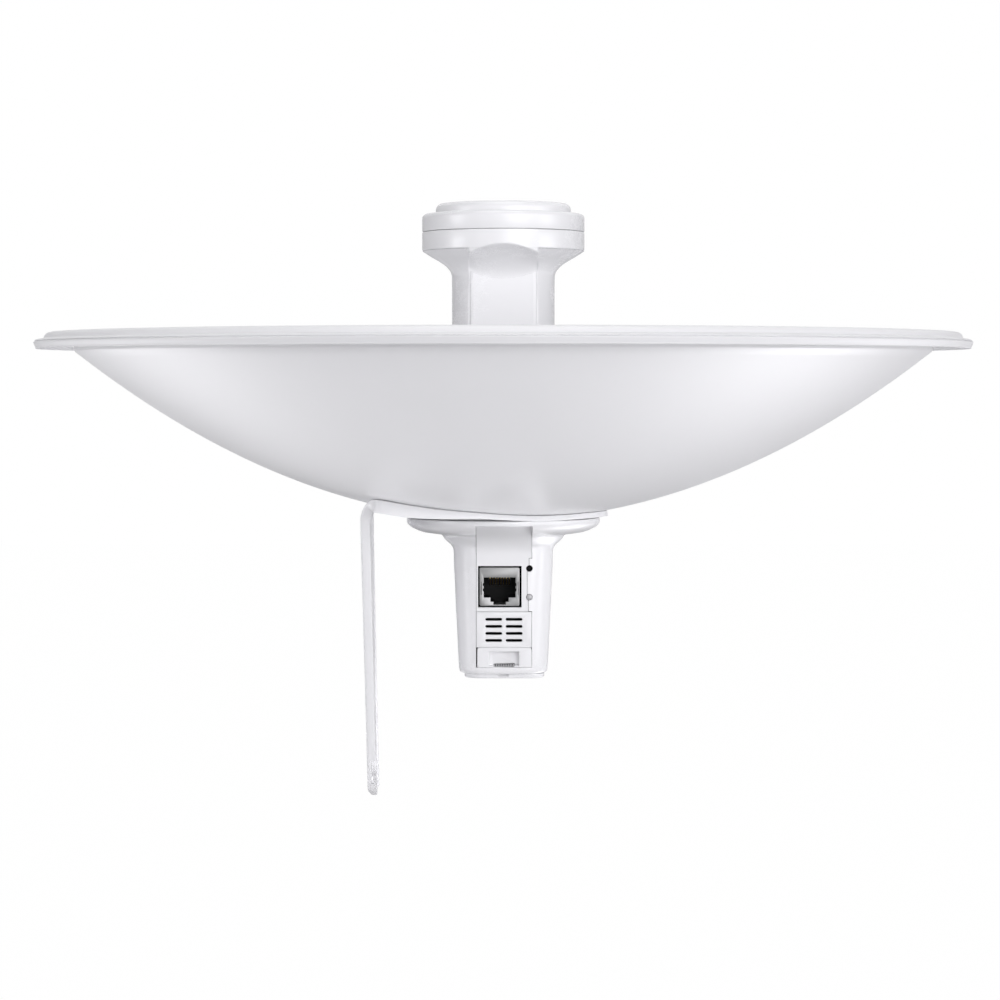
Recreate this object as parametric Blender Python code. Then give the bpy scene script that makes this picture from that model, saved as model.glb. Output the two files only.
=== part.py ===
"""Parabolic dish antenna: reflector, feed, rear radio housing and the bracket that carries them.

Every length below is in millimetres, measured from the outer vertex of the dish:
X to the right, Y to the back and Z along the beam. An empty moves the finished part
so that the middle of the bracket arm's outer face is the origin.
"""
import math

import bmesh
import bpy
from mathutils import Matrix, Vector

MM = 0.001
GAP = 0.3

# Reflector
FOCAL_LENGTH = 101.6
SHEET = 1.4
BOWL_RADIUS = 160.3
RIM_RADIUS = 175.5
DISH_HOLE_RADIUS = 21.5
DISH_SEGMENTS = 96
BOWL_RINGS = 9

# Bracket plate and arm
PLATE_OUTLINE = ((-46.48, 40.6), (-44.0, 42.5), (-13.0, 42.5), (0.0, 38.2), (21.0, 29.2), (32.0, 22.6),
                 (36.0, 17.4), (38.2, 11.0), (39.2, 4.0))
PLATE_GAP = 0.35
STEEL = 2.0
BEND_START_X = -46.48
BEND_RADIUS = 4.2
BEND_LOWER_RADIUS = 9.0
BEND_LOWER_TURN = math.radians(39.0)
BEND_STEPS = 8
ARM_LEAN = math.radians(1.15)
ARM_TOP_HALF_WIDTH = 34.0
ARM_TAPER_TOP_Z = 3.0
ARM_TAPER_POWER = 1.3
ARM_HALF_WIDTH_AT_SLOT = 21.3
ARM_UNCUT_Z = -110.0
ARM_FRONT_CORNER = (-15.8, -95.6, 5.5)
ARM_BACK_CORNER = (13.8, -99.2, 7.5)
ARM_END_SLANT = 10.8
PLATE_LIP = 2.9
ARM_LIP_TOP = 1.5
ARM_LIP_FOOT = 1.1
LEAST_LIP = 0.12
EDGE_ROUND = 0.9
PIVOT_HOLE_Z = -50.0
PIVOT_HOLE_RADIUS = 4.5
SLOT_Z = -93.5
SLOT_HALF_WIDTH = 4.3
SLOT_FRONT_Y = -11.0
SLOT_BACK_Y = 9.0
LIP_NOTCH_DEPTH = 1.5
LIP_NOTCH_BACK_Y = -17.0
MOUNT_Z = -68.0

# Hub screws and collar
SCREW_CIRCLE_RADIUS = 30.5
SCREW_SHANK_RADIUS = 1.9
SCREW_HOLE_RADIUS = 2.2
SCREW_HEAD_RADIUS = 3.4
SCREW_HEAD_HEIGHT = 2.4
SCREW_REACH = 4.9
COLLAR_OUTER_RADIUS = 25.5
COLLAR_HEIGHT = 3.2

# Feed
NECK_RADIUS = 19.35
NECK_FOOT_Z = -1.3
NECK_FLAT_HALF_WIDTH = 12.3
NECK_FLAT_Y = -14.87
COVER_THICKNESS = 3.8
SCOOP_FOOT_Z = 90.7
SCOOP_FOOT_RISE = 2.6
SCOOP_TOP_Z = 103.1
SCOOP_TOP_DROP = 2.4
SCOOP_REACH = 16.3
SCOOP_POWER = 1.9
SCOOP_COLUMNS = 9
DRUM_RADIUS = 30.6
DRUM_FOOT_Z = 101.2
DRUM_SEAM_Z = 108.4
DRUM_TOP_Z = 115.2
TOP_DISC_RADIUS = 25.4
TOP_DISC_Z = 119.2
FEED_SEGMENTS = 64

# Housing
FLANGE_RADIUS = 36.5
HOUSING_FOOT_Z = -57.1
HOUSING_HALF_DEPTH = 17.5
FRONT_FLAT_HALF_WIDTH = 14.0
FRONT_EDGE_RADIUS = 2.6
BODY_CORNER_RADIUS = 9.0
FRONT_FLAT_Y = -17.75
FRONT_SWEEP_Z = -12.0
FRONT_RIM_Y = -35.9
FRONT_RIM_Z = -0.8
WINDOW_LEFT = -10.2
WINDOW_RIGHT = 10.7
WINDOW_RIGHT_STEP = 9.1
WINDOW_STEP_TOP_Z = -13.8
WINDOW_STEP_FOOT_Z = -33.55
WINDOW_TOP_Z = -0.95
WINDOW_FOOT_Z = -54.6
WINDOW_BACK_Y = -1.5
PANEL_Y = -17.6
PANEL_BACK_Y = -15.4
PANEL_FOOT_Z = -33.65
VENT_TOP_Z = -33.95
VENT_FOOT_Z = -46.95
VENT_ROWS_Z = (-36.56, -39.2, -41.84, -44.46)
VENT_COLUMNS_X = (-3.6, 4.0)
VENT_LENGTH = 6.3
VENT_HEIGHT = 1.1
LATCH_TOP_Z = -47.25
LATCH_FOOT_Z = -54.0
LATCH_RECESS = (-5.1, 5.8)
LATCH_RIDGE = (-3.5, 4.0)
CAP_HALF_WIDTH = 15.0
CAP_HALF_DEPTH = 14.6
CAP_FOOT_Z = -59.0
BUTTON_X = 9.7
BUTTON_Z = -17.55
LENS_Z = -28.25
PORT_DOT_RADIUS = 1.2

# Socket
JACK_X = -1.4
JACK_TOP_Z = -17.2
JACK_FOOT_Z = -31.55
JACK_HALF_WIDTH = 7.5
JACK_OPENING_HALF_WIDTH = 5.95
JACK_OPENING_TOP_Z = -20.9
JACK_OPENING_FOOT_Z = -28.4
JACK_STEP_HALF_WIDTH = 3.35
JACK_STEP_Z = -30.0
JACK_TAB_HALF_WIDTH = 2.25
JACK_TAB_Z = -30.95
JACK_FRONT_Y = -17.2
JACK_BACK_Y = -2.6
JACK_WALL = 0.45
CONTACT_COUNT = 8
CONTACT_PITCH = 1.02


def bowl_height(radius):
    """Height of the reflector's outer surface at a radius."""
    return radius * radius / (4.0 * FOCAL_LENGTH)


def bowl_slope(radius):
    """Angle of the reflector's surface against the horizontal at a radius."""
    return math.atan(radius / (2.0 * FOCAL_LENGTH))


def bowl_inner_height(radius):
    """Height of the reflector's inner surface at a radius."""
    return bowl_height(radius) + SHEET / math.cos(bowl_slope(radius))


def make_material(name, colour, roughness, metallic):
    material = bpy.data.materials.new(name)
    material.use_nodes = True
    shader = material.node_tree.nodes["Principled BSDF"]
    shader.inputs["Base Color"].default_value = (colour[0], colour[1], colour[2], 1.0)
    shader.inputs["Roughness"].default_value = roughness
    shader.inputs["Metallic"].default_value = metallic
    material.diffuse_color = (colour[0], colour[1], colour[2], 1.0)
    return material


def clear_scene():
    for old in list(bpy.data.objects):
        bpy.data.objects.remove(old, do_unlink=True)


def finish_mesh(name, work, material, frame):
    """Turn a bmesh in millimetres into a named object under the frame empty."""
    bmesh.ops.recalc_face_normals(work, faces=work.faces[:])
    bmesh.ops.scale(work, vec=(MM, MM, MM), verts=work.verts[:])
    for face in work.faces:
        face.smooth = True
    for edge in work.edges:
        if len(edge.link_faces) == 2 and edge.calc_face_angle() > math.radians(32.0):
            edge.smooth = False
    mesh = bpy.data.meshes.new(name)
    work.to_mesh(mesh)
    work.free()
    item = bpy.data.objects.new(name, mesh)
    bpy.context.collection.objects.link(item)
    if material is not None:
        mesh.materials.append(material)
    item.parent = frame
    return item


def add_rings(work, rings, close_ends):
    """Join rings of equal length into a skin, with a flat face on each end if asked."""
    loops = [[work.verts.new(point) for point in ring] for ring in rings]
    count = len(loops[0])
    for lower, upper in zip(loops, loops[1:]):
        for index in range(count):
            following = (index + 1) % count
            work.faces.new((lower[index], lower[following], upper[following], upper[index]))
    if close_ends:
        work.faces.new(loops[0])
        work.faces.new(loops[-1])
    return loops


def circle_ring(radius, height, segments):
    turn = 2.0 * math.pi / segments
    return [(radius * math.cos(turn * k), radius * math.sin(turn * k), height) for k in range(segments)]


def solid_of_revolution(profile, segments):
    """Solid turned about Z from a list of (radius, height), flat at both ends."""
    work = bmesh.new()
    add_rings(work, [circle_ring(radius, height, segments) for radius, height in profile], True)
    return work


def ring_of_revolution(profile, segments):
    """Ring turned about Z from a closed outline of (radius, height)."""
    work = bmesh.new()
    rings = [circle_ring(radius, height, segments) for radius, height in profile]
    rings.append(rings[0])
    loops = [[work.verts.new(point) for point in ring] for ring in rings[:-1]]
    loops.append(loops[0])
    for lower, upper in zip(loops, loops[1:]):
        for index in range(segments):
            following = (index + 1) % segments
            work.faces.new((lower[index], lower[following], upper[following], upper[index]))
    return work


def prism_along_y(outline, front, back):
    """Solid with an (x, z) outline between two depths."""
    work = bmesh.new()
    rings = [[(x, depth, z) for x, z in outline] for depth in (front, back)]
    add_rings(work, rings, True)
    return work


def prism_along_x(outline, left, right):
    """Solid with a (y, z) outline between two X positions."""
    work = bmesh.new()
    rings = [[(x, y, z) for y, z in outline] for x in (left, right)]
    add_rings(work, rings, True)
    return work


def box(low, high):
    outline = [(low[0], low[2]), (high[0], low[2]), (high[0], high[2]), (low[0], high[2])]
    return prism_along_y(outline, low[1], high[1])


def cylinder_along_y(centre_x, centre_z, radius, front, back, segments):
    turn = 2.0 * math.pi / segments
    outline = [(centre_x + radius * math.cos(turn * k), centre_z + radius * math.sin(turn * k))
               for k in range(segments)]
    return prism_along_y(outline, front, back)


def arc_points(centre, radius, start, end, steps):
    """Points on an arc between two angles in degrees."""
    points = []
    for step in range(steps + 1):
        angle = math.radians(start + (end - start) * step / steps)
        points.append((centre[0] + radius * math.cos(angle), centre[1] + radius * math.sin(angle)))
    return points


def stadium(centre_x, centre_z, length, height, steps):
    """Outline of a slot with round ends, lying along X."""
    radius = height / 2.0
    reach = length / 2.0 - radius
    right = arc_points((centre_x + reach, centre_z), radius, -90.0, 90.0, steps)
    left = arc_points((centre_x - reach, centre_z), radius, 90.0, 270.0, steps)
    return right + left


def cut(item, tool, operation="DIFFERENCE"):
    """Give an object a live Boolean against a hidden helper shape."""
    tool.hide_render = True
    tool.display_type = "WIRE"
    modifier = item.modifiers.new(tool.name, "BOOLEAN")
    modifier.operation = operation
    modifier.solver = "EXACT"
    modifier.object = tool


def rim_profile():
    """Rolled rim, from the outer edge of the bowl over the lip and bead to its inside."""
    return [
        (BOWL_RADIUS + 0.9, 64.3),
        (RIM_RADIUS - 1.4, 64.3),
        (RIM_RADIUS - 0.4, 64.75),
        (RIM_RADIUS, 65.7),
        (RIM_RADIUS - 0.3, 66.7),
        (RIM_RADIUS - 1.1, 67.15),
        (171.8, 67.3),
        (171.3, 67.6),
        (171.25, 68.8),
        (170.4, 69.8),
        (168.4, 70.7),
        (164.5, 71.2),
        (161.9, 71.4),
        (160.5, 71.1),
        (159.4, 69.9),
        (158.4, 66.5),
    ]


def build_reflector(material, frame):
    outer = []
    inner = []
    for step in range(BOWL_RINGS + 1):
        radius = DISH_HOLE_RADIUS + (BOWL_RADIUS - DISH_HOLE_RADIUS) * step / BOWL_RINGS
        outer.append((radius, bowl_height(radius)))
        inner_radius = DISH_HOLE_RADIUS + (157.2 - DISH_HOLE_RADIUS) * step / BOWL_RINGS
        inner.append((inner_radius, bowl_inner_height(inner_radius)))
    inner.reverse()
    return finish_mesh("dish_reflector", ring_of_revolution(outer + rim_profile() + inner, DISH_SEGMENTS),
                       material, frame)


def plate_half_width(x):
    """Half-width of the plate, read along its tapering outline."""
    for (x_low, half_low), (x_high, half_high) in zip(PLATE_OUTLINE, PLATE_OUTLINE[1:]):
        if x <= x_high:
            return half_low + (half_high - half_low) * (x - x_low) / (x_high - x_low)
    return PLATE_OUTLINE[-1][1]


def arm_half_width(z):
    """Half-width of the arm, narrowing downwards."""
    share = (z - SLOT_Z) / (ARM_TAPER_TOP_Z - SLOT_Z)
    spread = ARM_TOP_HALF_WIDTH - ARM_HALF_WIDTH_AT_SLOT
    return ARM_HALF_WIDTH_AT_SLOT + spread * max(share, 0.0) ** ARM_TAPER_POWER


def lip_extra(x):
    """How far the plate's turned edges reach past its own thickness."""
    share = (-8.0 - x) / 28.0
    return LEAST_LIP + PLATE_LIP * min(max(share, 0.0), 1.0)


def arm_lips(z):
    """Depth past the steel of the arm's front and back turned edges at a height."""
    share = min(max(z / SLOT_Z, 0.0), 1.0)
    front = ARM_LIP_TOP + (ARM_LIP_FOOT - ARM_LIP_TOP) * share
    back = LEAST_LIP + (ARM_LIP_FOOT - LEAST_LIP) * share
    return front, back


def section_points(half, front_lip, back_lip):
    """Across the strip: (sideways, depth) round its closed section."""
    outer_flat = half - EDGE_ROUND
    inner_flat = half - STEEL
    outer = [(-half, STEEL + front_lip), (-half, EDGE_ROUND), (-half + 0.3 * EDGE_ROUND, 0.3 * EDGE_ROUND)]
    for share in (-1.0, -0.66, -0.33, 0.0, 0.33, 0.66, 1.0):
        outer.append((outer_flat * share, 0.0))
    outer += [(half - 0.3 * EDGE_ROUND, 0.3 * EDGE_ROUND), (half, EDGE_ROUND), (half, STEEL + back_lip)]
    inner = [(inner_flat, STEEL + back_lip)]
    for share in (1.0, 0.66, 0.33, 0.0, -0.33, -0.66, -1.0):
        inner.append((inner_flat * share, STEEL))
    inner.append((-inner_flat, STEEL + front_lip))
    return outer + inner


def plate_station(x):
    ring = []
    lip = lip_extra(x)
    for side, depth in section_points(plate_half_width(x), lip, lip):
        top = Vector((x, side, bowl_height(math.hypot(x, side)) - PLATE_GAP))
        inward = Vector((x / (2.0 * FOCAL_LENGTH), side / (2.0 * FOCAL_LENGTH), -1.0)).normalized()
        ring.append(top + inward * depth)
    return ring


def bend_place(side, depth, share):
    """Point of the bend, which turns tightly first and then more slowly into the arm."""
    first_heading = math.pi - math.atan(abs(BEND_START_X) / (2.0 * FOCAL_LENGTH))
    last_heading = 1.5 * math.pi + ARM_LEAN
    change_heading = last_heading - BEND_LOWER_TURN
    heading = first_heading + (last_heading - first_heading) * share
    start_z = bowl_height(math.hypot(BEND_START_X, side)) - PLATE_GAP
    centre_x = BEND_START_X - BEND_RADIUS * math.sin(first_heading)
    centre_z = start_z + BEND_RADIUS * math.cos(first_heading)
    radius = BEND_RADIUS
    if heading > change_heading:
        radius = BEND_LOWER_RADIUS
        centre_x += (BEND_RADIUS - BEND_LOWER_RADIUS) * math.sin(change_heading)
        centre_z -= (BEND_RADIUS - BEND_LOWER_RADIUS) * math.cos(change_heading)
    reach = radius - depth
    return Vector((centre_x + reach * math.sin(heading), side, centre_z - reach * math.cos(heading)))


def bend_station(share):
    start_half = plate_half_width(BEND_START_X)
    half = start_half + (ARM_TOP_HALF_WIDTH - start_half) * share
    start_lip = lip_extra(BEND_START_X)
    front_lip = start_lip + (ARM_LIP_TOP - start_lip) * share
    back_lip = start_lip + (LEAST_LIP - start_lip) * share
    return [bend_place(side, depth, share) for side, depth in section_points(half, front_lip, back_lip)]


def arm_outer_x(z):
    """X of the arm's flat outer face at a height."""
    bend_end = bend_place(0.0, 0.0, 1.0)
    return bend_end.x + (bend_end.z - z) * math.tan(ARM_LEAN)


def arm_station(z):
    ring = []
    front_lip, back_lip = arm_lips(z)
    for side, depth in section_points(arm_half_width(z), front_lip, back_lip):
        outer_x = arm_outer_x(z)
        ring.append(Vector((outer_x + depth * math.cos(ARM_LEAN), side, z + depth * math.sin(ARM_LEAN))))
    return ring


def prism_through_arm(outline, left, right):
    """Tool with a (y, z) outline that crosses the arm; left and right count from its outer face."""
    face_x = arm_outer_x(outline[0][1])
    return prism_along_x(outline, face_x + left, face_x + right)


def arm_end_outline():
    """Region under the arm's slanted and rounded lower end."""
    front_y, front_z, front_radius = ARM_FRONT_CORNER
    back_y, back_z, back_radius = ARM_BACK_CORNER
    turn = 270.0 - ARM_END_SLANT
    edge = [(-30.0, front_z)]
    edge += arc_points((front_y, front_z), front_radius, 180.0, turn, 6)
    edge += arc_points((back_y, back_z), back_radius, turn, 360.0, 8)
    return edge + [(30.0, back_z), (30.0, ARM_UNCUT_Z - 3.0), (-30.0, ARM_UNCUT_Z - 3.0)]


def build_bracket(material, frame):
    plate_x = [39.2, 38.2, 36.0, 32.0, 26.5, 21.0, 14.0, 7.0, 0.0, -7.0, -13.0, -20.0, -28.0, -36.0,
               -44.0, BEND_START_X]
    rings = [plate_station(x) for x in plate_x]
    rings += [bend_station(step / BEND_STEPS) for step in range(1, BEND_STEPS)]
    rings += [arm_station(z) for z in (-7.0, -16.0, -28.0, -42.0, -60.0, -80.0, ARM_UNCUT_Z)]
    work = bmesh.new()
    add_rings(work, rings, True)
    bracket = finish_mesh("mounting_bracket", work, material, frame)

    neck_hole = finish_mesh("cut_bracket_neck", solid_of_revolution(
        [(DISH_HOLE_RADIUS, -8.0), (DISH_HOLE_RADIUS, 8.0)], 48), None, frame)
    cut(bracket, neck_hole)
    pivot = arc_points((0.0, PIVOT_HOLE_Z), PIVOT_HOLE_RADIUS, 0.0, 348.75, 31)
    cut(bracket, finish_mesh("cut_pivot_hole", prism_through_arm(pivot, -6.0, 8.0), None, frame))
    slot = arc_points((SLOT_BACK_Y, SLOT_Z), SLOT_HALF_WIDTH, -90.0, 90.0, 12)
    slot += arc_points((SLOT_FRONT_Y, SLOT_Z), SLOT_HALF_WIDTH, 90.0, 270.0, 12)
    cut(bracket, finish_mesh("cut_clamp_slot", prism_through_arm(slot, -6.0, 8.0), None, frame))
    notch = [(-30.0, SLOT_Z - SLOT_HALF_WIDTH), (LIP_NOTCH_BACK_Y, SLOT_Z - SLOT_HALF_WIDTH),
             (LIP_NOTCH_BACK_Y, SLOT_Z + SLOT_HALF_WIDTH), (-30.0, SLOT_Z + SLOT_HALF_WIDTH)]
    notch_tool = prism_through_arm(notch, LIP_NOTCH_DEPTH, 10.0)
    cut(bracket, finish_mesh("cut_lip_notch", notch_tool, None, frame))
    end_tool = prism_through_arm(arm_end_outline(), -6.0, 10.0)
    cut(bracket, finish_mesh("cut_arm_end", end_tool, None, frame))
    return bracket


def screw_matrix(angle):
    """Pose of a hub screw: on the bowl's outer surface, along its normal."""
    slope = bowl_slope(SCREW_CIRCLE_RADIUS)
    place = Matrix.Translation((SCREW_CIRCLE_RADIUS, 0.0, bowl_height(SCREW_CIRCLE_RADIUS)))
    return Matrix.Rotation(angle, 4, "Z") @ place @ Matrix.Rotation(-slope, 4, "Y")


def build_hub_screws(material, frame):
    shank_start = SHEET + 0.2
    profile = [
        (SCREW_SHANK_RADIUS, -SCREW_REACH),
        (SCREW_SHANK_RADIUS, shank_start),
        (SCREW_HEAD_RADIUS, shank_start),
        (SCREW_HEAD_RADIUS, shank_start + 0.55 * SCREW_HEAD_HEIGHT),
        (0.86 * SCREW_HEAD_RADIUS, shank_start + 0.85 * SCREW_HEAD_HEIGHT),
        (0.6 * SCREW_HEAD_RADIUS, shank_start + SCREW_HEAD_HEIGHT),
        (1.5, shank_start + SCREW_HEAD_HEIGHT),
        (1.5, shank_start + SCREW_HEAD_HEIGHT - 1.2),
    ]
    tools = bmesh.new()
    for number in range(4):
        pose = screw_matrix(math.radians(45.0 + 90.0 * number))
        work = solid_of_revolution(profile, 24)
        bmesh.ops.transform(work, matrix=pose, verts=work.verts[:])
        finish_mesh("hub_screw_%d" % (number + 1), work, material, frame)
        rings = [[pose @ Vector(point) for point in circle_ring(SCREW_HOLE_RADIUS, z, 20)]
                 for z in (-SCREW_REACH - 0.3, 6.0)]
        add_rings(tools, rings, True)
    return finish_mesh("cut_screw_holes", tools, None, frame)


def build_hub_collar(material, frame):
    inner = NECK_RADIUS + 0.15
    foot_inner = bowl_inner_height(DISH_HOLE_RADIUS) + 0.25
    foot_outer = bowl_inner_height(COLLAR_OUTER_RADIUS) + 0.25
    top = foot_outer + COLLAR_HEIGHT
    profile = [
        (inner, foot_inner),
        (DISH_HOLE_RADIUS, foot_inner),
        (COLLAR_OUTER_RADIUS, foot_outer),
        (COLLAR_OUTER_RADIUS, top - 1.0),
        (COLLAR_OUTER_RADIUS - 0.4, top - 0.3),
        (COLLAR_OUTER_RADIUS - 1.2, top),
        (inner, top),
    ]
    finish_mesh("hub_collar", ring_of_revolution(profile, FEED_SEGMENTS), material, frame)


def neck_profile():
    """Outside of the round neck and its trumpet mouth under the drum."""
    return [
        (NECK_RADIUS, NECK_FOOT_Z),
        (NECK_RADIUS, 45.0),
        (NECK_RADIUS, 90.5),
        (NECK_RADIUS + 0.15, 92.0),
        (NECK_RADIUS + 1.05, 94.3),
        (NECK_RADIUS + 3.45, 96.5),
        (NECK_RADIUS + 7.05, 98.75),
        (NECK_RADIUS + 10.45, 101.0),
        (DRUM_RADIUS - 0.2, DRUM_FOOT_Z),
    ]


def scoop_foot(x):
    """Height where the flat front ends and the scoop under the drum begins."""
    return SCOOP_FOOT_Z + SCOOP_FOOT_RISE * (x / NECK_FLAT_HALF_WIDTH) ** 2


def scoop_tool(low_outline):
    """Room in front of the scoop, and of what low_outline (y, z) adds below it."""
    work = bmesh.new()
    rings = []
    for number in range(SCOOP_COLUMNS):
        x = NECK_FLAT_HALF_WIDTH * (2.0 * number / (SCOOP_COLUMNS - 1) - 1.0)
        foot_z = scoop_foot(x)
        top_z = SCOOP_TOP_Z - SCOOP_TOP_DROP * (x / NECK_FLAT_HALF_WIDTH) ** 2
        ring = [(x, y, foot_z if z is None else z) for y, z in low_outline]
        for step in range(1, 8):
            share = step / 7.0
            y = NECK_FLAT_Y - SCOOP_REACH * share ** SCOOP_POWER
            ring.append((x, y, foot_z + (top_z - foot_z) * share))
        ring.append((x, -50.0, top_z))
        rings.append(ring)
    add_rings(work, rings, True)
    return work


def build_feed_neck(shell_material, cover_material, frame):
    shell = finish_mesh("feed_neck_shell", solid_of_revolution(neck_profile(), FEED_SEGMENTS),
                        shell_material, frame)
    slot_back = NECK_FLAT_Y + COVER_THICKNESS + 0.2
    slot_foot = NECK_FOOT_Z - 5.0
    below = [(-50.0, slot_foot), (slot_back, slot_foot), (slot_back, None), (NECK_FLAT_Y, None)]
    cut(shell, finish_mesh("cut_neck_slot", scoop_tool(below), None, frame))
    work = bmesh.new()
    rings = []
    for number in range(SCOOP_COLUMNS):
        x = (NECK_FLAT_HALF_WIDTH - 0.2) * (2.0 * number / (SCOOP_COLUMNS - 1) - 1.0)
        top_z = scoop_foot(x) - 0.2
        back_y = NECK_FLAT_Y + COVER_THICKNESS
        rings.append([(x, NECK_FLAT_Y, NECK_FOOT_Z), (x, NECK_FLAT_Y, top_z),
                      (x, back_y, top_z), (x, back_y, NECK_FOOT_Z)])
    add_rings(work, rings, True)
    finish_mesh("feed_neck_cover", work, cover_material, frame)


def build_feed_drum(material, disc_material, frame):
    lower_top = DRUM_SEAM_Z - GAP / 2.0
    lower = [
        (DRUM_RADIUS - 0.5, DRUM_FOOT_Z + 0.15),
        (DRUM_RADIUS, DRUM_FOOT_Z + 0.6),
        (DRUM_RADIUS, lower_top - 0.2),
        (DRUM_RADIUS - 0.2, lower_top),
    ]
    drum = finish_mesh("feed_drum_lower", solid_of_revolution(lower, FEED_SEGMENTS), material, frame)
    below = [(-50.0, None), (NECK_FLAT_Y, None)]
    cut(drum, finish_mesh("cut_drum_notch", scoop_tool(below), None, frame))
    upper_foot = DRUM_SEAM_Z + GAP / 2.0
    upper = [
        (DRUM_RADIUS - 0.2, upper_foot),
        (DRUM_RADIUS, upper_foot + 0.2),
        (DRUM_RADIUS, DRUM_TOP_Z - 1.6),
        (DRUM_RADIUS - 0.3, DRUM_TOP_Z - 0.8),
        (DRUM_RADIUS - 0.9, DRUM_TOP_Z - 0.25),
        (DRUM_RADIUS - 1.8, DRUM_TOP_Z),
    ]
    finish_mesh("feed_drum_upper", solid_of_revolution(upper, FEED_SEGMENTS), material, frame)
    disc_foot = DRUM_TOP_Z + 0.1
    disc = [
        (TOP_DISC_RADIUS, disc_foot),
        (TOP_DISC_RADIUS, TOP_DISC_Z - 1.8),
        (TOP_DISC_RADIUS - 0.4, TOP_DISC_Z - 0.9),
        (TOP_DISC_RADIUS - 1.4, TOP_DISC_Z - 0.3),
        (TOP_DISC_RADIUS - 3.0, TOP_DISC_Z),
    ]
    finish_mesh("feed_top_disc", solid_of_revolution(disc, FEED_SEGMENTS), disc_material, frame)


def rounded_box_reach(angle, half_width, half_depth, corner):
    """Distance from the centre to a rounded rectangle in a direction."""
    direction = (math.cos(angle), math.sin(angle))
    low = 0.0
    high = half_width + half_depth
    for _ in range(30):
        middle = (low + high) / 2.0
        over_x = max(abs(direction[0]) * middle - (half_width - corner), 0.0)
        over_y = max(abs(direction[1]) * middle - (half_depth - corner), 0.0)
        if math.hypot(over_x, over_y) < corner:
            low = middle
        else:
            high = middle
    return (low + high) / 2.0


def housing_ring(radius, half_width, half_depth, share, z):
    """Ring that goes from a circle (share 0) to a rounded rectangle (share 1)."""
    segments = 64
    ring = []
    for number in range(segments):
        angle = 2.0 * math.pi * number / segments
        reach = radius
        if share > 0.0:
            square = rounded_box_reach(angle, half_width, half_depth, BODY_CORNER_RADIUS)
            reach = radius + (square - radius) * share
        ring.append((reach * math.cos(angle), reach * math.sin(angle), z))
    return ring


def flange_top(radius):
    """Height of the flange's upper face, seated under the bracket plate."""
    return bowl_height(radius) - PLATE_GAP - STEEL - 0.3


def front_sweep(y_flat, y_rim, z_flat, z_rim, steps):
    """Concave sweep (y, z) from the flat front up and out to the flange's rim."""
    points = []
    for step in range(steps + 1):
        angle = math.radians(90.0 * step / steps)
        y = y_flat + (y_rim - y_flat) * (1.0 - math.cos(angle))
        z = z_flat + (z_rim - z_flat) * math.sin(angle)
        points.append((y, z))
    return points


def flange_reach(name, radius, frame):
    """Upright cylinder that keeps the front face within the flange."""
    reach = solid_of_revolution([(radius, HOUSING_FOOT_Z - 3.0), (radius, 3.0)], 64)
    return finish_mesh(name, reach, None, frame)


def mark_front_edges(work):
    """Give full bevel weight to the two long edges of the front face and its sweep."""
    weights = work.edges.layers.float.new("bevel_weight_edge")
    front = front_sweep(FRONT_FLAT_Y, FRONT_RIM_Y, FRONT_SWEEP_Z, FRONT_RIM_Z, 8)
    front.append((FRONT_FLAT_Y, HOUSING_FOOT_Z + 0.5))

    def on_front(vert):
        return any(math.hypot(vert.co.y - y, vert.co.z - z) < 0.01 for y, z in front)

    for edge in work.edges:
        first, second = edge.verts
        if on_front(first) and on_front(second) and abs(first.co.x - second.co.x) < 0.01:
            edge[weights] = 1.0


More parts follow.
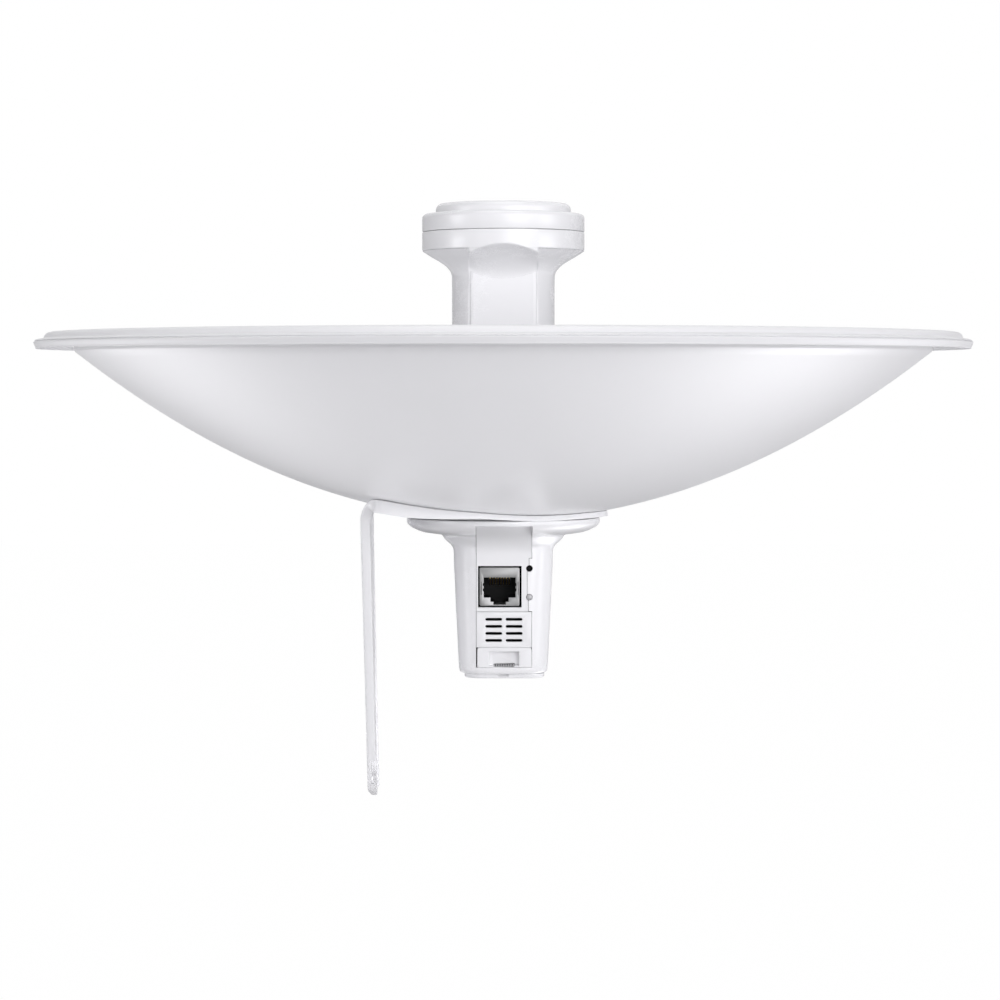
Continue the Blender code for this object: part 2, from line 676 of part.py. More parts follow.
def build_housing_shell(material, frame):
    rings = []
    for radius in (8.0, 16.0, 24.0, 31.0, 35.3):
        rings.append(housing_ring(radius, 0.0, 0.0, 0.0, flange_top(radius)))
    flange = [(36.2, 0.2), (FLANGE_RADIUS, -0.2), (FLANGE_RADIUS, -0.9), (36.0, -1.7), (34.5, -2.9),
              (32.5, -3.85), (30.5, -4.5), (27.5, -4.95), (23.8, -5.3), (22.9, -6.4)]
    for radius, z in flange:
        rings.append(housing_ring(radius, 0.0, 0.0, 0.0, z))
    shoulder = [(22.1, 21.5, 0.1, -7.5), (21.0, 20.6, 0.3, -8.5),
                (19.8, 19.7, 0.6, -9.55), (19.0, 19.0, 0.85, -10.7)]
    for radius, half_width, share, z in shoulder:
        rings.append(housing_ring(radius, half_width, HOUSING_HALF_DEPTH, share, z))
    body = [(18.6, -11.8), (18.6, -14.4), (18.55, -17.0), (18.25, -22.5), (17.9, -31.5), (17.4, -40.6),
            (17.05, -48.1), (16.6, -55.7), (16.5, -56.7), (16.2, HOUSING_FOOT_Z)]
    for half_width, z in body:
        half_depth = HOUSING_HALF_DEPTH - 0.3 * (z < -56.8)
        rings.append(housing_ring(half_width, half_width, half_depth, 1.0, z))
    work = bmesh.new()
    add_rings(work, rings, True)
    shell = finish_mesh("housing_shell", work, material, frame)

    face = [(0.0, HOUSING_FOOT_Z + 0.5), (FRONT_FLAT_Y, HOUSING_FOOT_Z + 0.5)]
    face += front_sweep(FRONT_FLAT_Y, FRONT_RIM_Y, FRONT_SWEEP_Z, FRONT_RIM_Z, 8)
    face += [(-34.5, -0.55), (-33.0, -0.7), (-28.0, -1.4), (-16.0, -2.8), (0.0, -3.4)]
    block = prism_along_x(face, -FRONT_FLAT_HALF_WIDTH, FRONT_FLAT_HALF_WIDTH)
    mark_front_edges(block)
    block = finish_mesh("add_front_face", block, None, frame)
    rounding = block.modifiers.new("front_edge_radius", "BEVEL")
    rounding.width = FRONT_EDGE_RADIUS * MM
    rounding.segments = 3
    rounding.limit_method = "WEIGHT"
    cut(block, flange_reach("keep_front_in_flange", FLANGE_RADIUS, frame), "INTERSECT")
    cut(shell, block, "UNION")
    window = [(WINDOW_LEFT, WINDOW_TOP_Z), (WINDOW_LEFT, WINDOW_FOOT_Z), (WINDOW_RIGHT, WINDOW_FOOT_Z),
              (WINDOW_RIGHT, WINDOW_STEP_FOOT_Z), (WINDOW_RIGHT_STEP, WINDOW_STEP_FOOT_Z),
              (WINDOW_RIGHT_STEP, WINDOW_STEP_TOP_Z), (WINDOW_RIGHT, WINDOW_STEP_TOP_Z),
              (WINDOW_RIGHT, WINDOW_TOP_Z)]
    cut(shell, finish_mesh("cut_window", prism_along_y(window, -60.0, WINDOW_BACK_Y), None, frame))
    return shell


def dot_cutters(frame):
    """Round holes for the reset button and the lamp's lens, across the panel seam."""
    work = cylinder_along_y(BUTTON_X, BUTTON_Z, PORT_DOT_RADIUS + 0.02, -30.0, -11.0, 20)
    turn = 2.0 * math.pi / 20
    rings = [[(BUTTON_X + (PORT_DOT_RADIUS + 0.02) * math.cos(turn * k), depth,
               LENS_Z + (PORT_DOT_RADIUS + 0.02) * math.sin(turn * k)) for k in range(20)]
             for depth in (-30.0, -11.0)]
    add_rings(work, rings, True)
    return finish_mesh("cut_port_dots", work, None, frame)


def build_port_panel(material, frame):
    """Upper panel of the window; its side view follows the housing's front sweep."""
    front = [(PANEL_BACK_Y, PANEL_FOOT_Z), (PANEL_Y, PANEL_FOOT_Z)]
    sweep = front_sweep(PANEL_Y, FRONT_RIM_Y + 0.15, FRONT_SWEEP_Z, WINDOW_TOP_Z - 0.25, 8)
    back = [(-24.0, WINDOW_TOP_Z - 0.25), (PANEL_BACK_Y, -9.0)]
    work = prism_along_x(front + sweep + back, WINDOW_LEFT + 0.25, WINDOW_RIGHT - 0.25)
    panel = finish_mesh("port_panel", work, material, frame)
    cut(panel, flange_reach("keep_panel_in_flange", FLANGE_RADIUS - 0.1, frame), "INTERSECT")
    step = box((WINDOW_RIGHT_STEP - 0.25, -60.0, WINDOW_STEP_FOOT_Z - 3.0),
               (WINDOW_RIGHT + 3.0, 0.0, WINDOW_STEP_TOP_Z + 0.25))
    cut(panel, finish_mesh("cut_panel_step", step, None, frame))
    opening = box((JACK_X - JACK_HALF_WIDTH - 0.5, -40.0, JACK_FOOT_Z - 0.5),
                  (JACK_X + JACK_HALF_WIDTH + 0.5, 0.0, JACK_TOP_Z + 0.5))
    cut(panel, finish_mesh("cut_panel_socket", opening, None, frame))
    return panel


def build_port_dots(button_material, lens_material, frame):
    button = cylinder_along_y(BUTTON_X, BUTTON_Z, PORT_DOT_RADIUS - 0.15, -15.6, -11.2, 20)
    finish_mesh("reset_button", button, button_material, frame)
    lens = cylinder_along_y(BUTTON_X, LENS_Z, PORT_DOT_RADIUS - 0.12, PANEL_Y + 0.15, -11.2, 20)
    finish_mesh("status_lens", lens, lens_material, frame)


def build_vent_panel(material, frame):
    work = box((WINDOW_LEFT + 0.25, PANEL_Y, VENT_FOOT_Z),
               (WINDOW_RIGHT - 0.25, PANEL_BACK_Y, VENT_TOP_Z))
    panel = finish_mesh("vent_panel", work, material, frame)
    slots = bmesh.new()
    for row in VENT_ROWS_Z:
        for column in VENT_COLUMNS_X:
            outline = stadium(column, row, VENT_LENGTH, VENT_HEIGHT, 6)
            add_rings(slots, [[(x, depth, z) for x, z in outline] for depth in (-25.0, -10.0)], True)
    cut(panel, finish_mesh("cut_vent_slots", slots, None, frame))


def build_latch(material, frame):
    """Push latch with a finger recess open to its foot and a gripping ridge."""
    low_x = WINDOW_LEFT + 0.4
    high_x = WINDOW_RIGHT - 0.3
    work = box((low_x, PANEL_Y + 0.05, WINDOW_FOOT_Z + 0.3), (high_x, -13.0, LATCH_TOP_Z))
    latch = finish_mesh("latch_button", work, material, frame)
    recess = box((LATCH_RECESS[0], -25.0, LATCH_FOOT_Z), (LATCH_RECESS[1], -15.4, LATCH_TOP_Z - 1.5))
    cut(latch, finish_mesh("cut_latch_recess", recess, None, frame))
    ridge = box((LATCH_RIDGE[0], -17.2, LATCH_FOOT_Z - 0.3), (LATCH_RIDGE[1], -15.2, LATCH_FOOT_Z + 0.7))
    cut(latch, finish_mesh("add_latch_ridge", ridge, None, frame), "UNION")


def build_tail_cap(material, frame):
    rings = []
    for inset, z in ((0.0, HOUSING_FOOT_Z - GAP), (0.0, CAP_FOOT_Z + 0.5), (0.5, CAP_FOOT_Z)):
        rings.append(housing_ring(0.0, CAP_HALF_WIDTH - inset, CAP_HALF_DEPTH - inset, 1.0, z))
    work = bmesh.new()
    add_rings(work, rings, True)
    cap = finish_mesh("tail_cap", work, material, frame)
    notch = box((-2.0, -30.0, CAP_FOOT_Z + 0.7), (2.0, -CAP_HALF_DEPTH + 1.4, HOUSING_FOOT_Z + 1.0))
    cut(cap, finish_mesh("cut_cap_notch", notch, None, frame))


def jack_opening_outline():
    """Front view (x, z) of the plug opening with its two-step latch slot."""
    return [
        (JACK_X - JACK_OPENING_HALF_WIDTH, JACK_OPENING_TOP_Z),
        (JACK_X - JACK_OPENING_HALF_WIDTH, JACK_OPENING_FOOT_Z),
        (JACK_X - JACK_STEP_HALF_WIDTH, JACK_OPENING_FOOT_Z),
        (JACK_X - JACK_STEP_HALF_WIDTH, JACK_STEP_Z),
        (JACK_X - JACK_TAB_HALF_WIDTH, JACK_STEP_Z),
        (JACK_X - JACK_TAB_HALF_WIDTH, JACK_TAB_Z),
        (JACK_X + JACK_TAB_HALF_WIDTH, JACK_TAB_Z),
        (JACK_X + JACK_TAB_HALF_WIDTH, JACK_STEP_Z),
        (JACK_X + JACK_STEP_HALF_WIDTH, JACK_STEP_Z),
        (JACK_X + JACK_STEP_HALF_WIDTH, JACK_OPENING_FOOT_Z),
        (JACK_X + JACK_OPENING_HALF_WIDTH, JACK_OPENING_FOOT_Z),
        (JACK_X + JACK_OPENING_HALF_WIDTH, JACK_OPENING_TOP_Z),
    ]


def build_socket(shield_material, insert_material, contact_material, frame):
    low = (JACK_X - JACK_HALF_WIDTH, JACK_FRONT_Y, JACK_FOOT_Z)
    high = (JACK_X + JACK_HALF_WIDTH, JACK_BACK_Y, JACK_TOP_Z)
    shield = finish_mesh("jack_shield", box(low, high), shield_material, frame)
    hollow = box((low[0] + JACK_WALL, JACK_FRONT_Y + JACK_WALL, low[2] + JACK_WALL),
                 (high[0] - JACK_WALL, JACK_BACK_Y + 5.0, high[2] - JACK_WALL))
    cut(shield, finish_mesh("cut_shield_hollow", hollow, None, frame))
    mouth = prism_along_y(jack_opening_outline(), JACK_FRONT_Y - 3.0, JACK_FRONT_Y + 3.0)
    cut(shield, finish_mesh("cut_shield_mouth", mouth, None, frame))

    margin = JACK_WALL + 0.1
    insert = box((low[0] + margin, JACK_FRONT_Y + margin, low[2] + margin),
                 (high[0] - margin, JACK_BACK_Y, high[2] - margin))
    insert = finish_mesh("jack_insert", insert, insert_material, frame)
    cavity = prism_along_y(jack_opening_outline(), JACK_FRONT_Y - 3.0, JACK_BACK_Y - 2.4)
    cut(insert, finish_mesh("cut_insert_cavity", cavity, None, frame))

    for number in range(CONTACT_COUNT):
        centre = JACK_X + (number - (CONTACT_COUNT - 1) / 2.0) * CONTACT_PITCH
        outline = [(-15.4, JACK_OPENING_TOP_Z - 0.05), (-15.4, JACK_OPENING_TOP_Z - 0.45),
                   (-7.2, JACK_OPENING_TOP_Z - 3.4), (-6.9, JACK_OPENING_TOP_Z - 3.0)]
        outline += [(-14.6, JACK_OPENING_TOP_Z - 0.05)]
        contact = prism_along_x(outline, centre - 0.16, centre + 0.16)
        finish_mesh("contact_%d" % (number + 1), contact, contact_material, frame)


def main():
    clear_scene()
    frame = bpy.data.objects.new("part_frame", None)
    bpy.context.collection.objects.link(frame)
    frame.location = Vector((-arm_outer_x(MOUNT_Z), 0.0, -MOUNT_Z)) * MM

    coat = make_material("white_paint", (0.86, 0.86, 0.88), 0.38, 0.0)
    plastic = make_material("white_plastic", (0.84, 0.84, 0.86), 0.35, 0.0)
    metal = make_material("shield_metal", (0.62, 0.62, 0.62), 0.35, 0.9)
    black = make_material("black_plastic", (0.02, 0.02, 0.022), 0.5, 0.0)
    gold = make_material("contact_gold", (0.75, 0.58, 0.25), 0.3, 1.0)
    steel = make_material("screw_steel", (0.6, 0.6, 0.6), 0.35, 1.0)
    grey = make_material("lens_grey", (0.5, 0.5, 0.5), 0.2, 0.0)

    reflector = build_reflector(coat, frame)
    bracket = build_bracket(coat, frame)
    build_hub_collar(plastic, frame)
    shell = build_housing_shell(plastic, frame)
    screw_holes = build_hub_screws(steel, frame)
    for item in (reflector, bracket, shell):
        cut(item, screw_holes)
    dots = dot_cutters(frame)
    panel = build_port_panel(plastic, frame)
    cut(panel, dots)
    cut(shell, dots)
    build_port_dots(black, grey, frame)
    build_vent_panel(plastic, frame)
    build_latch(plastic, frame)
    build_tail_cap(plastic, frame)
    build_socket(metal, black, gold, frame)
    build_feed_neck(plastic, plastic, frame)
    build_feed_drum(plastic, plastic, frame)


main()
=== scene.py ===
"""Parabolic dish antenna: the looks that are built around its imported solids.

Lengths in the shape lists are millimetres from the outer vertex of the dish, X to the right,
Y to the back and Z along the beam. Each finished piece is then moved to the dish's place.
"""
import math

import bmesh
import bpy
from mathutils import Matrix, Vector


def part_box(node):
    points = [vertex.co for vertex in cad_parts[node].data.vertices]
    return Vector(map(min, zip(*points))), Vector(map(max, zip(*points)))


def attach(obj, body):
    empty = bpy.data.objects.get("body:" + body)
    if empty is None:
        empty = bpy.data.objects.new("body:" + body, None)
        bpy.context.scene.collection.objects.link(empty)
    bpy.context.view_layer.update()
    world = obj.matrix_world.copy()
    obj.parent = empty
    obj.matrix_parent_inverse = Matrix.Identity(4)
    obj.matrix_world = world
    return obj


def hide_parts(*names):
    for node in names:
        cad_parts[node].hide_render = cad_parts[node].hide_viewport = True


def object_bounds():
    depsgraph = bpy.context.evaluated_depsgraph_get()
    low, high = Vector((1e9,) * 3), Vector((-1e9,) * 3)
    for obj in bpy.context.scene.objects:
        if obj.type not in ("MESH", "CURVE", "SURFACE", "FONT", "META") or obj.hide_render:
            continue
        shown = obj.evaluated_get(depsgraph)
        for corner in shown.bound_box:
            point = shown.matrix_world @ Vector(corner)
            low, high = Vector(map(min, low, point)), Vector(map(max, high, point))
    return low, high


bl_info = {
    "name": "Parabolic dish antenna",
    "version": (1, 0, 0),
    "blender": (4, 5, 0),
    "location": "3D View > Sidebar > Antenna",
    "description": "Builds the pieces, finishes and studio of a parabolic dish antenna",
    "category": "Object",
}

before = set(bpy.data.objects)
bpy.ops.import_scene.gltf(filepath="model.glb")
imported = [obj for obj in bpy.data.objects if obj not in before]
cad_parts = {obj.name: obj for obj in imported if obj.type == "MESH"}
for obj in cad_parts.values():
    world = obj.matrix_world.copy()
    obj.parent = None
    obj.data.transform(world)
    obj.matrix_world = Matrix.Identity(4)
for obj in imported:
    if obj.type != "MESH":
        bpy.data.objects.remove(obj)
CAD_LOW, CAD_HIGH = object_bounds()

MM = 0.001
FOCAL = 101.6
SHEET = 1.4
BEAD_TOP = 71.4
DISH_LOW, DISH_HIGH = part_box("dish_reflector")
PLACE = Vector(((DISH_LOW.x + DISH_HIGH.x) / 2.0, 0.0, DISH_HIGH.z - BEAD_TOP * MM))

CAMERA_X = -1.25
CAMERA_DISTANCE = 1135.1
CAMERA_HEIGHT = 52.0
CAMERA_PITCH = 2.252
CAMERA_LENS = 108.0
SENSOR = 36.0
FLOOR_DROP = 0.55


# Steps in Blender that a modeller would take by hand

def calm():
    """Leave edit mode and drop every selection."""
    if bpy.context.mode != "OBJECT":
        bpy.ops.object.mode_set(mode="OBJECT")
    bpy.ops.object.select_all(action="DESELECT")


def only(item):
    calm()
    item.select_set(True)
    bpy.context.view_layer.objects.active = item


def edit(item, kind="VERT"):
    only(item)
    bpy.ops.object.mode_set(mode="EDIT")
    bpy.ops.mesh.select_mode(type=kind)


def start_point(name, point):
    """One vertex in edit mode, made from a tiny plane."""
    calm()
    bpy.ops.mesh.primitive_plane_add(size=MM, location=(0.0, 0.0, 0.0))
    item = bpy.context.object
    item.name = name
    item.data.name = name
    bpy.ops.object.mode_set(mode="EDIT")
    bpy.ops.mesh.select_mode(type="VERT")
    bpy.ops.mesh.select_all(action="SELECT")
    bpy.ops.mesh.merge(type="CENTER")
    bpy.ops.transform.translate(value=Vector(point) * MM)
    return item


def select_points(item, test):
    """Select the vertices whose place, in millimetres, passes a test."""
    bpy.ops.mesh.select_all(action="DESELECT")
    work = bmesh.from_edit_mesh(item.data)
    for vert in work.verts:
        vert.select_set(test(vert.co / MM))
    work.select_flush_mode()
    bmesh.update_edit_mesh(item.data)


def select_edges(item, test):
    """Select the edges whose two ends, in millimetres, pass a test together."""
    bpy.ops.mesh.select_mode(type="EDGE")
    bpy.ops.mesh.select_all(action="DESELECT")
    work = bmesh.from_edit_mesh(item.data)
    for edge in work.edges:
        first, second = (vert.co / MM for vert in edge.verts)
        edge.select_set(test(first, second))
    bmesh.update_edit_mesh(item.data)


def trace(name, points, closed=True):
    """Draw an outline point by point."""
    item = start_point(name, points[0])
    for before, after in zip(points, points[1:]):
        step = (Vector(after) - Vector(before)) * MM
        bpy.ops.mesh.extrude_vertices_move(TRANSFORM_OT_translate={"value": step})
    if closed:
        ends = (Vector(points[0]), Vector(points[-1]))
        select_points(item, lambda place: min((place - end).length for end in ends) < 0.002)
        bpy.ops.mesh.edge_face_add()
    bpy.ops.mesh.select_all(action="SELECT")
    return item


def extrude(x, y, z):
    """Extrude the selected faces by a vector in millimetres."""
    step = Vector((x, y, z)) * MM
    bpy.ops.mesh.extrude_region_move(TRANSFORM_OT_translate={"value": step})


def face_out():
    """Merge what lies together and turn every face outwards."""
    bpy.ops.mesh.select_all(action="SELECT")
    bpy.ops.mesh.remove_doubles(threshold=0.002 * MM)
    bpy.ops.mesh.normals_make_consistent(inside=False)


def turned(name, profile, segments, closed=False):
    """Spin a profile of (radius, height) about the dish's axis."""
    item = trace(name, [(radius, 0.0, height) for radius, height in profile], closed)
    bpy.ops.mesh.spin(steps=segments, angle=2.0 * math.pi, center=(0.0, 0.0, 0.0), axis=(0.0, 0.0, 1.0))
    face_out()
    calm()
    return item


def raised(name, outline, reach):
    """Fill an outline and extrude it by a vector."""
    item = trace(name, outline)
    bpy.ops.mesh.edge_face_add()
    extrude(*reach)
    face_out()
    calm()
    return item


def front_cut(name, outline, front, back):
    """Extrude an (x, z) outline from front to back."""
    return raised(name, [(x, front, z) for x, z in outline], (0.0, back - front, 0.0))


def side_cut(name, outline, left, right):
    """Extrude a (y, z) outline from left to right."""
    return raised(name, [(left, y, z) for y, z in outline], (right - left, 0.0, 0.0))


def block(name, low, high):
    outline = [(low[0], low[2]), (high[0], low[2]), (high[0], high[2]), (low[0], high[2])]
    return front_cut(name, outline, low[1], high[1])


def rod(name, radius, low, high, segments):
    """Solid cylinder round the dish's axis."""
    return turned(name, [(0.0, low), (radius, low), (radius, high), (0.0, high)], segments)


def apply_modifier(item, modifier):
    only(item)
    bpy.ops.object.modifier_apply(modifier=modifier.name)


def combine(item, tool, operation="DIFFERENCE"):
    """Apply a Boolean with another shape, which is then taken away."""
    modifier = item.modifiers.new("combine", "BOOLEAN")
    modifier.operation = operation
    modifier.solver = "EXACT"
    modifier.object = tool
    apply_modifier(item, modifier)
    bpy.data.objects.remove(tool, do_unlink=True)


def soften(item, width, steps=3, angle=32.0):
    """Round the sharp edges of a piece."""
    modifier = item.modifiers.new("soft edges", "BEVEL")
    modifier.width = width * MM
    modifier.segments = steps
    modifier.limit_method = "ANGLE"
    modifier.angle_limit = math.radians(angle)
    modifier.miter_outer = "MITER_ARC"
    apply_modifier(item, modifier)


def round_edges(item, width, steps, test):
    """Round the edges that a test picks."""
    edit(item, "EDGE")
    select_edges(item, test)
    bpy.ops.mesh.bevel(offset=width * MM, segments=steps, affect="EDGES")
    calm()


def spaced(start, end, steps):
    """Evenly spaced numbers from start to end."""
    return [start + (end - start) * step / steps for step in range(steps + 1)]


def arc(centre_a, centre_b, radius_a, radius_b, start, end, steps):
    """Points on an ellipse's arc between two angles in degrees."""
    points = []
    for step in range(steps + 1):
        angle = math.radians(start + (end - start) * step / steps)
        points.append((centre_a + radius_a * math.cos(angle), centre_b + radius_b * math.sin(angle)))
    return points


def long_hole(centre, level, reach, radius, steps):
    """Outline of a hole with round ends, whose end centres lie a reach to each side."""
    return (arc(centre + reach, level, radius, radius, -90.0, 90.0, steps)
            + arc(centre - reach, level, radius, radius, 90.0, 270.0, steps))


def rounded_box(name, half_width, half_depth, corner, height, steps):
    """Closed outline of a rounded rectangle at a height, ready to be drawn upwards."""
    outline = []
    for sign_x, sign_y, start in ((1, 1, 0.0), (-1, 1, 90.0), (-1, -1, 180.0), (1, -1, 270.0)):
        outline += arc(sign_x * (half_width - corner), sign_y * (half_depth - corner), corner, corner,
                       start, start + 90.0, steps)
    return trace(name, [(x, y, height) for x, y in outline])


def finish_piece(item, material, slot, *nodes, angle=35.0):
    """Put a piece in its place, shade it, give it its material and hide the imported solids it stands for.
    """
    only(item)
    item.location = PLACE
    bpy.ops.object.transform_apply(location=True, rotation=True, scale=True)
    bpy.ops.object.shade_smooth_by_angle(angle=math.radians(angle))
    item.data.materials.clear()
    item.data.materials.append(material)
    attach(item, "root")
    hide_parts(*nodes)
    calm()
    return item


def paint_shade_on(item, finish, test):
    """Give the faces whose middle, in millimetres, and normal pass a test a second, darker finish: painted
    shade.
    """
    item.data.materials.append(finish)
    for face in item.data.polygons:
        if test((face.center - PLACE) / MM, face.normal):
            face.material_index = 1


# Surface effects that several finishes share

def effect_group(name, inputs, outputs):
    """Shader node group with named number sockets."""
    group = bpy.data.node_groups.new(name, "ShaderNodeTree")
    for label, default in inputs:
        socket = group.interface.new_socket(label, in_out="INPUT", socket_type="NodeSocketFloat")
        socket.default_value = default
    for label in outputs:
        group.interface.new_socket(label, in_out="OUTPUT", socket_type="NodeSocketFloat")
    enter = group.nodes.new("NodeGroupInput")
    leave = group.nodes.new("NodeGroupOutput")
    return group, enter, leave


def add_math(group, operation, first, second, clamp=False):
    node = group.nodes.new("ShaderNodeMath")
    node.operation = operation
    node.use_clamp = clamp
    for socket, value in zip(node.inputs, (first, second)):
        if isinstance(value, (int, float)):
            socket.default_value = value
        else:
            group.links.new(value, socket)
    return node.outputs[0]


def set_inputs(node, values):
    """Set a node's inputs; an underscore in a name stands for a space."""
    for label, value in values.items():
        node.inputs[label.replace("_", " ")].default_value = value
    return node


def add_node(tree, kind, **values):
    return set_inputs(tree.nodes.new(kind), values)


def use_group(tree, group, **values):
    node = tree.nodes.new("ShaderNodeGroup")
    node.node_tree = group
    return set_inputs(node, values)


def add_noise(group, vector, scale, detail=4.0, rough=0.55):
    node = add_node(group, "ShaderNodeTexNoise", Detail=detail, Roughness=rough)
    group.links.new(vector, node.inputs["Vector"])
    if isinstance(scale, (int, float)):
        node.inputs["Scale"].default_value = scale
    else:
        group.links.new(scale, node.inputs["Scale"])
    return node.outputs["Fac"]


def make_grain_group():
    """Moulded or sprayed surface: a fine pitted grain over a slow unevenness."""
    group, enter, leave = effect_group(
        "surface_grain", (("Scale", 2500.0), ("Slow Scale", 40.0)), ("Height", "Gloss Shift", "Tint"))
    place = group.nodes.new("ShaderNodeTexCoord").outputs["Object"]
    fine = add_noise(group, place, enter.outputs["Scale"], 3.0)
    slow = add_noise(group, place, enter.outputs["Slow Scale"], 5.0, 0.6)
    half_slow = add_math(group, "MULTIPLY", slow, 0.5)
    group.links.new(add_math(group, "ADD", fine, half_slow), leave.inputs["Height"])
    centred = add_math(group, "SUBTRACT", slow, 0.5)
    fine_part = add_math(group, "MULTIPLY", add_math(group, "SUBTRACT", fine, 0.5), 0.35)
    group.links.new(add_math(group, "ADD", centred, fine_part), leave.inputs["Gloss Shift"])
    group.links.new(add_math(group, "ADD", slow, 0.0, True), leave.inputs["Tint"])
    return group


def make_dust_group():
    """Thin dust that settles on what faces up, in soft patches."""
    group, enter, leave = effect_group("settled_dust", (("Amount", 0.3),), ("Dust",))
    place = group.nodes.new("ShaderNodeTexCoord")
    split = group.nodes.new("ShaderNodeSeparateXYZ")
    geometry = group.nodes.new("ShaderNodeNewGeometry")
    group.links.new(geometry.outputs["Normal"], split.inputs[0])
    up = add_math(group, "MULTIPLY", add_math(group, "SUBTRACT", split.outputs["Z"], 0.35), 1.6, True)
    patches = add_noise(group, place.outputs["Object"], 60.0, 6.0, 0.65)
    patchy = add_math(group, "MULTIPLY", add_math(group, "SUBTRACT", patches, 0.42), 3.0, True)
    dust = add_math(group, "MULTIPLY", up, patchy)
    group.links.new(add_math(group, "MULTIPLY", dust, enter.outputs["Amount"], True), leave.inputs["Dust"])
    return group


def make_edge_group():
    """Mask of rubbed outer edges, broken up by a fine noise."""
    group, enter, leave = effect_group("rubbed_edges", (("Amount", 0.5),), ("Edge", "Crease"))
    place = group.nodes.new("ShaderNodeTexCoord")
    geometry = group.nodes.new("ShaderNodeNewGeometry")
    bent = add_math(group, "SUBTRACT", geometry.outputs["Pointiness"], 0.5)
    speckle = add_noise(group, place.outputs["Object"], 900.0, 3.0)
    outer = add_math(group, "MULTIPLY", bent, 6.0, True)
    worn = add_math(group, "MULTIPLY", outer, speckle)
    group.links.new(add_math(group, "MULTIPLY", worn, enter.outputs["Amount"], True), leave.inputs["Edge"])
    inner = add_math(group, "MULTIPLY", bent, -6.0, True)
    group.links.new(add_math(group, "MULTIPLY", inner, enter.outputs["Amount"]), leave.inputs["Crease"])
    return group


def make_brush_group():
    """Long fine scratches of rolled and plated sheet."""
    group, enter, leave = effect_group("rolled_sheet", (("Scale", 900.0),), ("Height", "Streak"))
    place = group.nodes.new("ShaderNodeTexCoord")
    stretch = add_node(group, "ShaderNodeMapping", Scale=(0.08, 1.0, 1.0))
    group.links.new(place.outputs["Object"], stretch.inputs["Vector"])
    streak = add_noise(group, stretch.outputs["Vector"], enter.outputs["Scale"], 5.0, 0.7)
    group.links.new(streak, leave.inputs["Streak"])
    group.links.new(add_math(group, "MULTIPLY", streak, 0.8), leave.inputs["Height"])
    return group


class Finish:
    """Keeps one material's tree while its nodes are put together."""

    def __init__(self, name, roughness, metallic=0.0):
        self.material = bpy.data.materials.new(name)
        self.material.use_nodes = True
        self.tree = self.material.node_tree
        self.shader = self.tree.nodes["Principled BSDF"]
        self.shader.inputs["Metallic"].default_value = metallic
        self.base_roughness = roughness

    def effect(self, group, **values):
        return use_group(self.tree, group, **values)

    def blend(self, mask, low, high):
        """Colour that goes from one to another along a mask."""
        mix = self.tree.nodes.new("ShaderNodeMix")
        mix.data_type = "RGBA"
        self.tree.links.new(mask, mix.inputs["Factor"])
        for socket, value in ((mix.inputs["A"], low), (mix.inputs["B"], high)):
            if hasattr(value, "__len__"):
                socket.default_value = (*value, 1.0)
            else:
                self.tree.links.new(value, socket)
        return mix.outputs["Result"]

    def roughen(self, shift, amount):
        scaled = add_math(self.tree, "MULTIPLY", shift, amount)
        total = add_math(self.tree, "ADD", scaled, self.base_roughness, True)
        self.tree.links.new(total, self.shader.inputs["Roughness"])

    def bump(self, height, depth, strength=1.0):
        node = add_node(self.tree, "ShaderNodeBump", Distance=depth * MM, Strength=strength)
        self.tree.links.new(height, node.inputs["Height"])
        self.tree.links.new(node.outputs["Normal"], self.shader.inputs["Normal"])

    def colour(self, output):
        self.tree.links.new(output, self.shader.inputs["Base Color"])


def shaded(colour, factor):
    return tuple(min(channel * factor, 1.0) for channel in colour)


GROUPS = {}
FINISHES = {}


def white_finish(name, colour, roughness, grain_scale, grain_depth, dust, wear, coat):
    """White satin surface: slow tint, grain, dust in the flats and darker concave creases."""
    finish = Finish(name, roughness)
    grain = finish.effect(GROUPS["grain"], Scale=grain_scale)
    settled = finish.effect(GROUPS["dust"], Amount=dust)
    edges = finish.effect(GROUPS["edge"], Amount=wear)
    tinted = finish.blend(grain.outputs["Tint"], shaded(colour, 0.985), shaded(colour, 1.012))
    dusty = finish.blend(settled.outputs["Dust"], tinted, (0.74, 0.73, 0.70))
    darker_in_creases = finish.blend(edges.outputs["Crease"], dusty, shaded(colour, 0.86))
    finish.colour(finish.blend(edges.outputs["Edge"], darker_in_creases, shaded(colour, 1.03)))
    finish.roughen(grain.outputs["Gloss Shift"], 0.16)
    finish.bump(grain.outputs["Height"], grain_depth, 0.5)
    set_inputs(finish.shader, {"Coat Weight": coat, "Coat Roughness": 0.18})
    return finish.material


def metal_finish(name, colour, roughness, streak_scale, dulled):
    """Bright plated metal with rolling streaks and dulled patches."""
    finish = Finish(name, roughness, 1.0)
    streaks = finish.effect(GROUPS["brush"], Scale=streak_scale)
    grain = finish.effect(GROUPS["grain"], Scale=4000.0, Slow_Scale=220.0)
    edges = finish.effect(GROUPS["edge"], Amount=0.7)
    bright = shaded(colour, 1.0 + 0.5 * dulled)
    base = finish.blend(grain.outputs["Tint"], shaded(colour, 1.0 - dulled), bright)
    streaked = finish.blend(streaks.outputs["Streak"], base, shaded(colour, 1.0 - 0.5 * dulled))
    finish.colour(finish.blend(edges.outputs["Edge"], streaked, shaded(colour, 1.15)))
    finish.roughen(streaks.outputs["Streak"], 0.18)
    finish.bump(streaks.outputs["Height"], 0.02, 0.4)
    return finish.material


